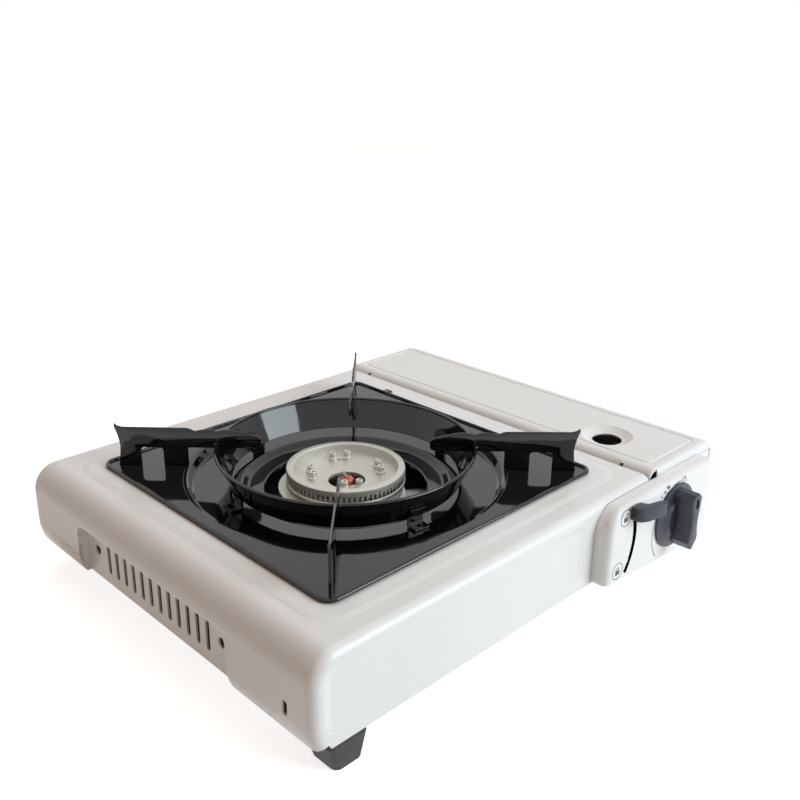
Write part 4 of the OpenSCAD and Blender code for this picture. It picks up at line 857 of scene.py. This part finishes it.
class STOVE_OT_lever_grip(bpy.types.Operator):
    """Makes the lever's grip with softly rounded edges"""
    bl_idname = "stove.lever_grip"
    bl_label = "Lever Grip"

    def execute(self, context):
        sizes = context.scene.stove_sizes
        rounded_copy("lever_grip", "grip_of_lever", "dark_plastic", "lever", sizes.grip_round,
                     angle=20, segments=3)
        return {"FINISHED"}


class STOVE_OT_panel_marks(bpy.types.Operator):
    """Prints the plain marks round knob and lever on the control panel"""
    bl_idname = "stove.panel_marks"
    bl_label = "Panel Marks"

    # places and sizes on the panel, as X and Z in millimetres
    scale_middle, scale_radius, scale_ends = (112.5, 38.4), 27, (88, 221)
    dots = ((91.9, 61.2, 0.75), (95.2, 63.5, 0.95), (99.1, 65.6, 1.2))
    flame_place = (117.5, 64.4)
    flame = ((0, 3.1), (1.7, 0.6), (1.9, -1.2), (0, -2.8), (-1.9, -1.2), (-1.7, 0.6), (0, 3.1))
    # each padlock's middle, and how far its shackle is lifted
    padlocks = ((53.1, 61.5, 1.0), (49.6, 27.7, 0.0))
    padlock_ring = 5.2
    lock_half_width, lock_bottom, row_height, row_width = 2.1, 2.2, 0.75, 0.8
    shackle_radius, shackle_rise = 1.4, 0.6

    def execute(self, context):
        sizes = context.scene.stove_sizes
        line = sizes.line_width
        face = PANEL_FACE - 0.01 * MM
        bm = bmesh.new()

        def arc(x, z, radius, start, end, width):
            """Flat printed arc on the panel, in degrees from +X towards +Z."""
            first = Matrix.Rotation(-math.radians(start), 4, "Y")
            verts = [bm.verts.new(Vector((x, face, z)) + first @ Vector((r, 0, 0)))
                     for r in (radius - width / 2, radius + width / 2)]
            edge = bm.edges.new(verts)
            bmesh.ops.spin(bm, geom=verts + [edge], cent=(x, face, z), axis=BACKWARDS,
                           angle=-math.radians(end - start),
                           steps=max(8, int(abs(end - start) / 4)))

        def bar(x0, z0, x1, z1, width):
            """Flat printed line between two points of the panel."""
            along = Vector((x1 - x0, 0, z1 - z0))
            side = along.cross(BACKWARDS).normalized() * width / 2
            a, b = Vector((x0, face, z0)), Vector((x1, face, z1))
            bm.faces.new([bm.verts.new(p) for p in (a - side, b - side, b + side, a + side)])

        # scale of the knob
        x, z = self.scale_middle
        arc(x * MM, z * MM, self.scale_radius * MM, *self.scale_ends, line)
        # three growing dots and a flame outline
        for x, z, radius in self.dots:
            bmesh.ops.create_circle(
                bm, cap_ends=True, segments=20, radius=radius * MM,
                matrix=Matrix.Translation((x * MM, face, z * MM)) @ FACING_FRONT)
        x, z = self.flame_place
        for (x0, z0), (x1, z1) in zip(self.flame, self.flame[1:]):
            bar((x + x0) * MM, (z + z0) * MM, (x + x1) * MM, (z + z1) * MM, line * 0.8)
        # open and closed padlock in circles, beside the two ends of the lever's slot
        for x, z, lift in self.padlocks:
            arc(x * MM, z * MM, self.padlock_ring * MM, 0, 360, line * 0.8)
            for row in range(4):
                height = (z - self.lock_bottom + row * self.row_height) * MM
                bar((x - self.lock_half_width) * MM, height,
                    (x + self.lock_half_width) * MM, height, self.row_width * MM)
            arc((x + lift) * MM, (z + self.shackle_rise + lift * 0.5) * MM,
                self.shackle_radius * MM, 0, 180, line * 0.9)
        bmesh.ops.recalc_face_normals(bm, faces=bm.faces)
        turned_back = [f for f in bm.faces if f.normal.y > 0]
        bmesh.ops.reverse_faces(bm, faces=turned_back)
        grown = bmesh.ops.extrude_face_region(bm, geom=list(bm.faces))["geom"]
        bmesh.ops.translate(bm, vec=(0, -sizes.ink_height, 0), verts=verts_of(grown))
        piece("panel_marks", bm, "ink", "stove_body")
        return {"FINISHED"}


class STOVE_OT_feet(bpy.types.Operator):
    """Finishes the four plastic feet"""
    bl_idname = "stove.feet"
    bl_label = "Feet"

    def execute(self, context):
        dress_slot("foot_plastic")
        return {"FINISHED"}


def seen_directly(tree):
    """1 for what the camera, a gloss or a glass looks at, and 0 for light on the object."""
    path = add(tree, "ShaderNodeLightPath")
    seen = add(tree, "ShaderNodeMath", {"operation": "MAXIMUM"},
               {0: path.outputs["Is Camera Ray"], 1: path.outputs["Is Glossy Ray"]})
    return add(tree, "ShaderNodeMath", {"operation": "MAXIMUM"},
               {0: seen.outputs[0], 1: path.outputs["Is Transmission Ray"]}).outputs[0]


class STOVE_OT_stage(bpy.types.Operator):
    """Sets up camera, soft lamps, room light and floor"""
    bl_idname = "stove.stage"
    bl_label = "Stage"

    # shares of the picture's width by which the stove is off the lens's axis
    shift_right, shift_down = 0.0392, -0.0056
    clip_near, clip_far = 0.01, 50
    lamp_target = (0, 0, 0.04)
    key_place, key_size, key_colour = (0.75, -1.45, 0.8), 1.1, (0.82, 0.93, 1.0)
    top_place, top_size, top_colour = (0.3, 0.35, 1.6), 1.6, (1.0, 1.0, 1.0)
    room_left, room_right = "#C39A78", "#F4F4F2"
    white = (1.0, 1.0, 1.0)
    paper_colour = (0.82, 0.82, 0.82)
    # half side of the floor, and how far it lies below the feet
    floor_half, floor_drop = 1.8, 0.0002

    def execute(self, context):
        scene = context.scene
        stage = scene.stove_stage
        scene.view_settings.view_transform = "Standard"

        camera = bpy.data.cameras.new("camera")
        camera.sensor_fit = "HORIZONTAL"
        camera.sensor_width = 36
        camera.lens = stage.lens
        camera.shift_x, camera.shift_y = self.shift_right, self.shift_down
        camera.clip_start, camera.clip_end = self.clip_near, self.clip_far
        eye = bpy.data.objects.new("camera", camera)
        scene.collection.objects.link(eye)
        eye.location = stage.camera_place
        eye.rotation_euler = (math.pi / 2 - stage.elevation, 0, stage.azimuth)
        scene.camera = eye

        def lamp(name, place, size, power, colour, mirrored):
            """Square area lamp aimed at the stove; mirrored decides if gloss shows it."""
            data = bpy.data.lights.new(name, "AREA")
            data.shape = "SQUARE"
            data.size = size
            data.energy = power
            data.color = colour
            light = bpy.data.objects.new(name, data)
            scene.collection.objects.link(light)
            light.location = place
            way = Vector(self.lamp_target) - Vector(place)
            light.rotation_euler = way.to_track_quat("-Z", "Y").to_euler()
            light.visible_camera = False
            light.visible_glossy = mirrored

        lamp("key_lamp", self.key_place, self.key_size, stage.key_light, self.key_colour, True)
        lamp("top_lamp", self.top_place, self.top_size, stage.top_light, self.top_colour, False)

        world = bpy.data.worlds.new("room")
        world.use_nodes = True
        scene.world = world
        tree = world.node_tree
        tree.nodes.clear()
        seen = seen_directly(tree)
        # the room is dimmer and warmer on the left than on the right
        way = add(tree, "ShaderNodeTexCoord")
        side = add(tree, "ShaderNodeSeparateXYZ", None, {"Vector": way.outputs["Generated"]})
        tint = add(tree, "ShaderNodeValToRGB", None, {"Fac": side.outputs["X"]})
        for stop, code in zip(tint.color_ramp.elements, (self.room_left, self.room_right)):
            stop.color = (*hex_colour(code), 1.0)
        room = add(tree, "ShaderNodeBackground", {"Strength": stage.room_light},
                   {"Color": tint.outputs["Color"]})
        backdrop = add(tree, "ShaderNodeBackground", {"Color": self.white, "Strength": 1.0})
        mix = add(tree, "ShaderNodeMixShader", None,
                  {0: seen, 1: room.outputs[0], 2: backdrop.outputs[0]})
        add(tree, "ShaderNodeOutputWorld", None, {"Surface": mix.outputs[0]})

        bm = bmesh.new()
        bmesh.ops.create_grid(bm, x_segments=2, y_segments=2, size=self.floor_half)
        mesh = bpy.data.meshes.new("floor")
        bm.to_mesh(mesh)
        bm.free()
        floor = bpy.data.objects.new("floor", mesh)
        floor.location = (0, 0, -self.floor_drop)
        scene.collection.objects.link(floor)
        paper = bpy.data.materials.new("Backdrop Paper")
        paper.use_nodes = True
        tree = paper.node_tree
        tree.nodes.clear()
        gain = add(tree, "ShaderNodeMath", {"operation": "MULTIPLY", 1: stage.floor_glow},
                   {0: seen_directly(tree)})
        glow = add(tree, "ShaderNodeEmission", {"Color": self.white},
                   {"Strength": gain.outputs[0]})
        matt = add(tree, "ShaderNodeBsdfDiffuse", {"Color": self.paper_colour})
        both = add(tree, "ShaderNodeAddShader", None, {0: matt.outputs[0], 1: glow.outputs[0]})
        add(tree, "ShaderNodeOutputMaterial", None, {"Surface": both.outputs[0]})
        mesh.materials.append(paper)
        return {"FINISHED"}


OPERATORS = (
    STOVE_OT_enamelled_shell, STOVE_OT_drip_pan, STOVE_OT_pan_support, STOVE_OT_burner,
    STOVE_OT_gas_train, STOVE_OT_knob, STOVE_OT_lever_grip, STOVE_OT_panel_marks,
    STOVE_OT_feet, STOVE_OT_stage,
)


class STOVE_PT_sidebar(bpy.types.Panel):
    """Lists the stove's pieces, sizes and colours"""
    bl_idname = "STOVE_PT_sidebar"
    bl_label = "Cassette Stove"
    bl_space_type = "VIEW_3D"
    bl_region_type = "UI"
    bl_category = "Stove"

    def draw(self, context):
        layout = self.layout
        for operator in OPERATORS:
            layout.operator(operator.bl_idname)
        scene = context.scene
        for group in (scene.stove_sizes, scene.stove_colours, scene.stove_stage):
            box = layout.box()
            for name in group.bl_rna.properties.keys():
                if name not in {"rna_type", "name"}:
                    box.prop(group, name)


CLASSES = (StoveColours, StoveSizes, StoveStage, *OPERATORS, STOVE_PT_sidebar)


def register():
    for item in CLASSES:
        bpy.utils.register_class(item)
    bpy.types.Scene.stove_colours = bpy.props.PointerProperty(type=StoveColours)
    bpy.types.Scene.stove_sizes = bpy.props.PointerProperty(type=StoveSizes)
    bpy.types.Scene.stove_stage = bpy.props.PointerProperty(type=StoveStage)


def unregister():
    del bpy.types.Scene.stove_stage
    del bpy.types.Scene.stove_sizes
    del bpy.types.Scene.stove_colours
    for item in reversed(CLASSES):
        bpy.utils.unregister_class(item)


def main():
    register()
    bpy.ops.stove.enamelled_shell()
    bpy.ops.stove.drip_pan()
    bpy.ops.stove.pan_support()
    bpy.ops.stove.burner()
    bpy.ops.stove.gas_train()
    bpy.ops.stove.knob()
    bpy.ops.stove.lever_grip()
    bpy.ops.stove.panel_marks()
    bpy.ops.stove.feet()
    bpy.ops.stove.stage()


if __name__ == "__main__":
    main()
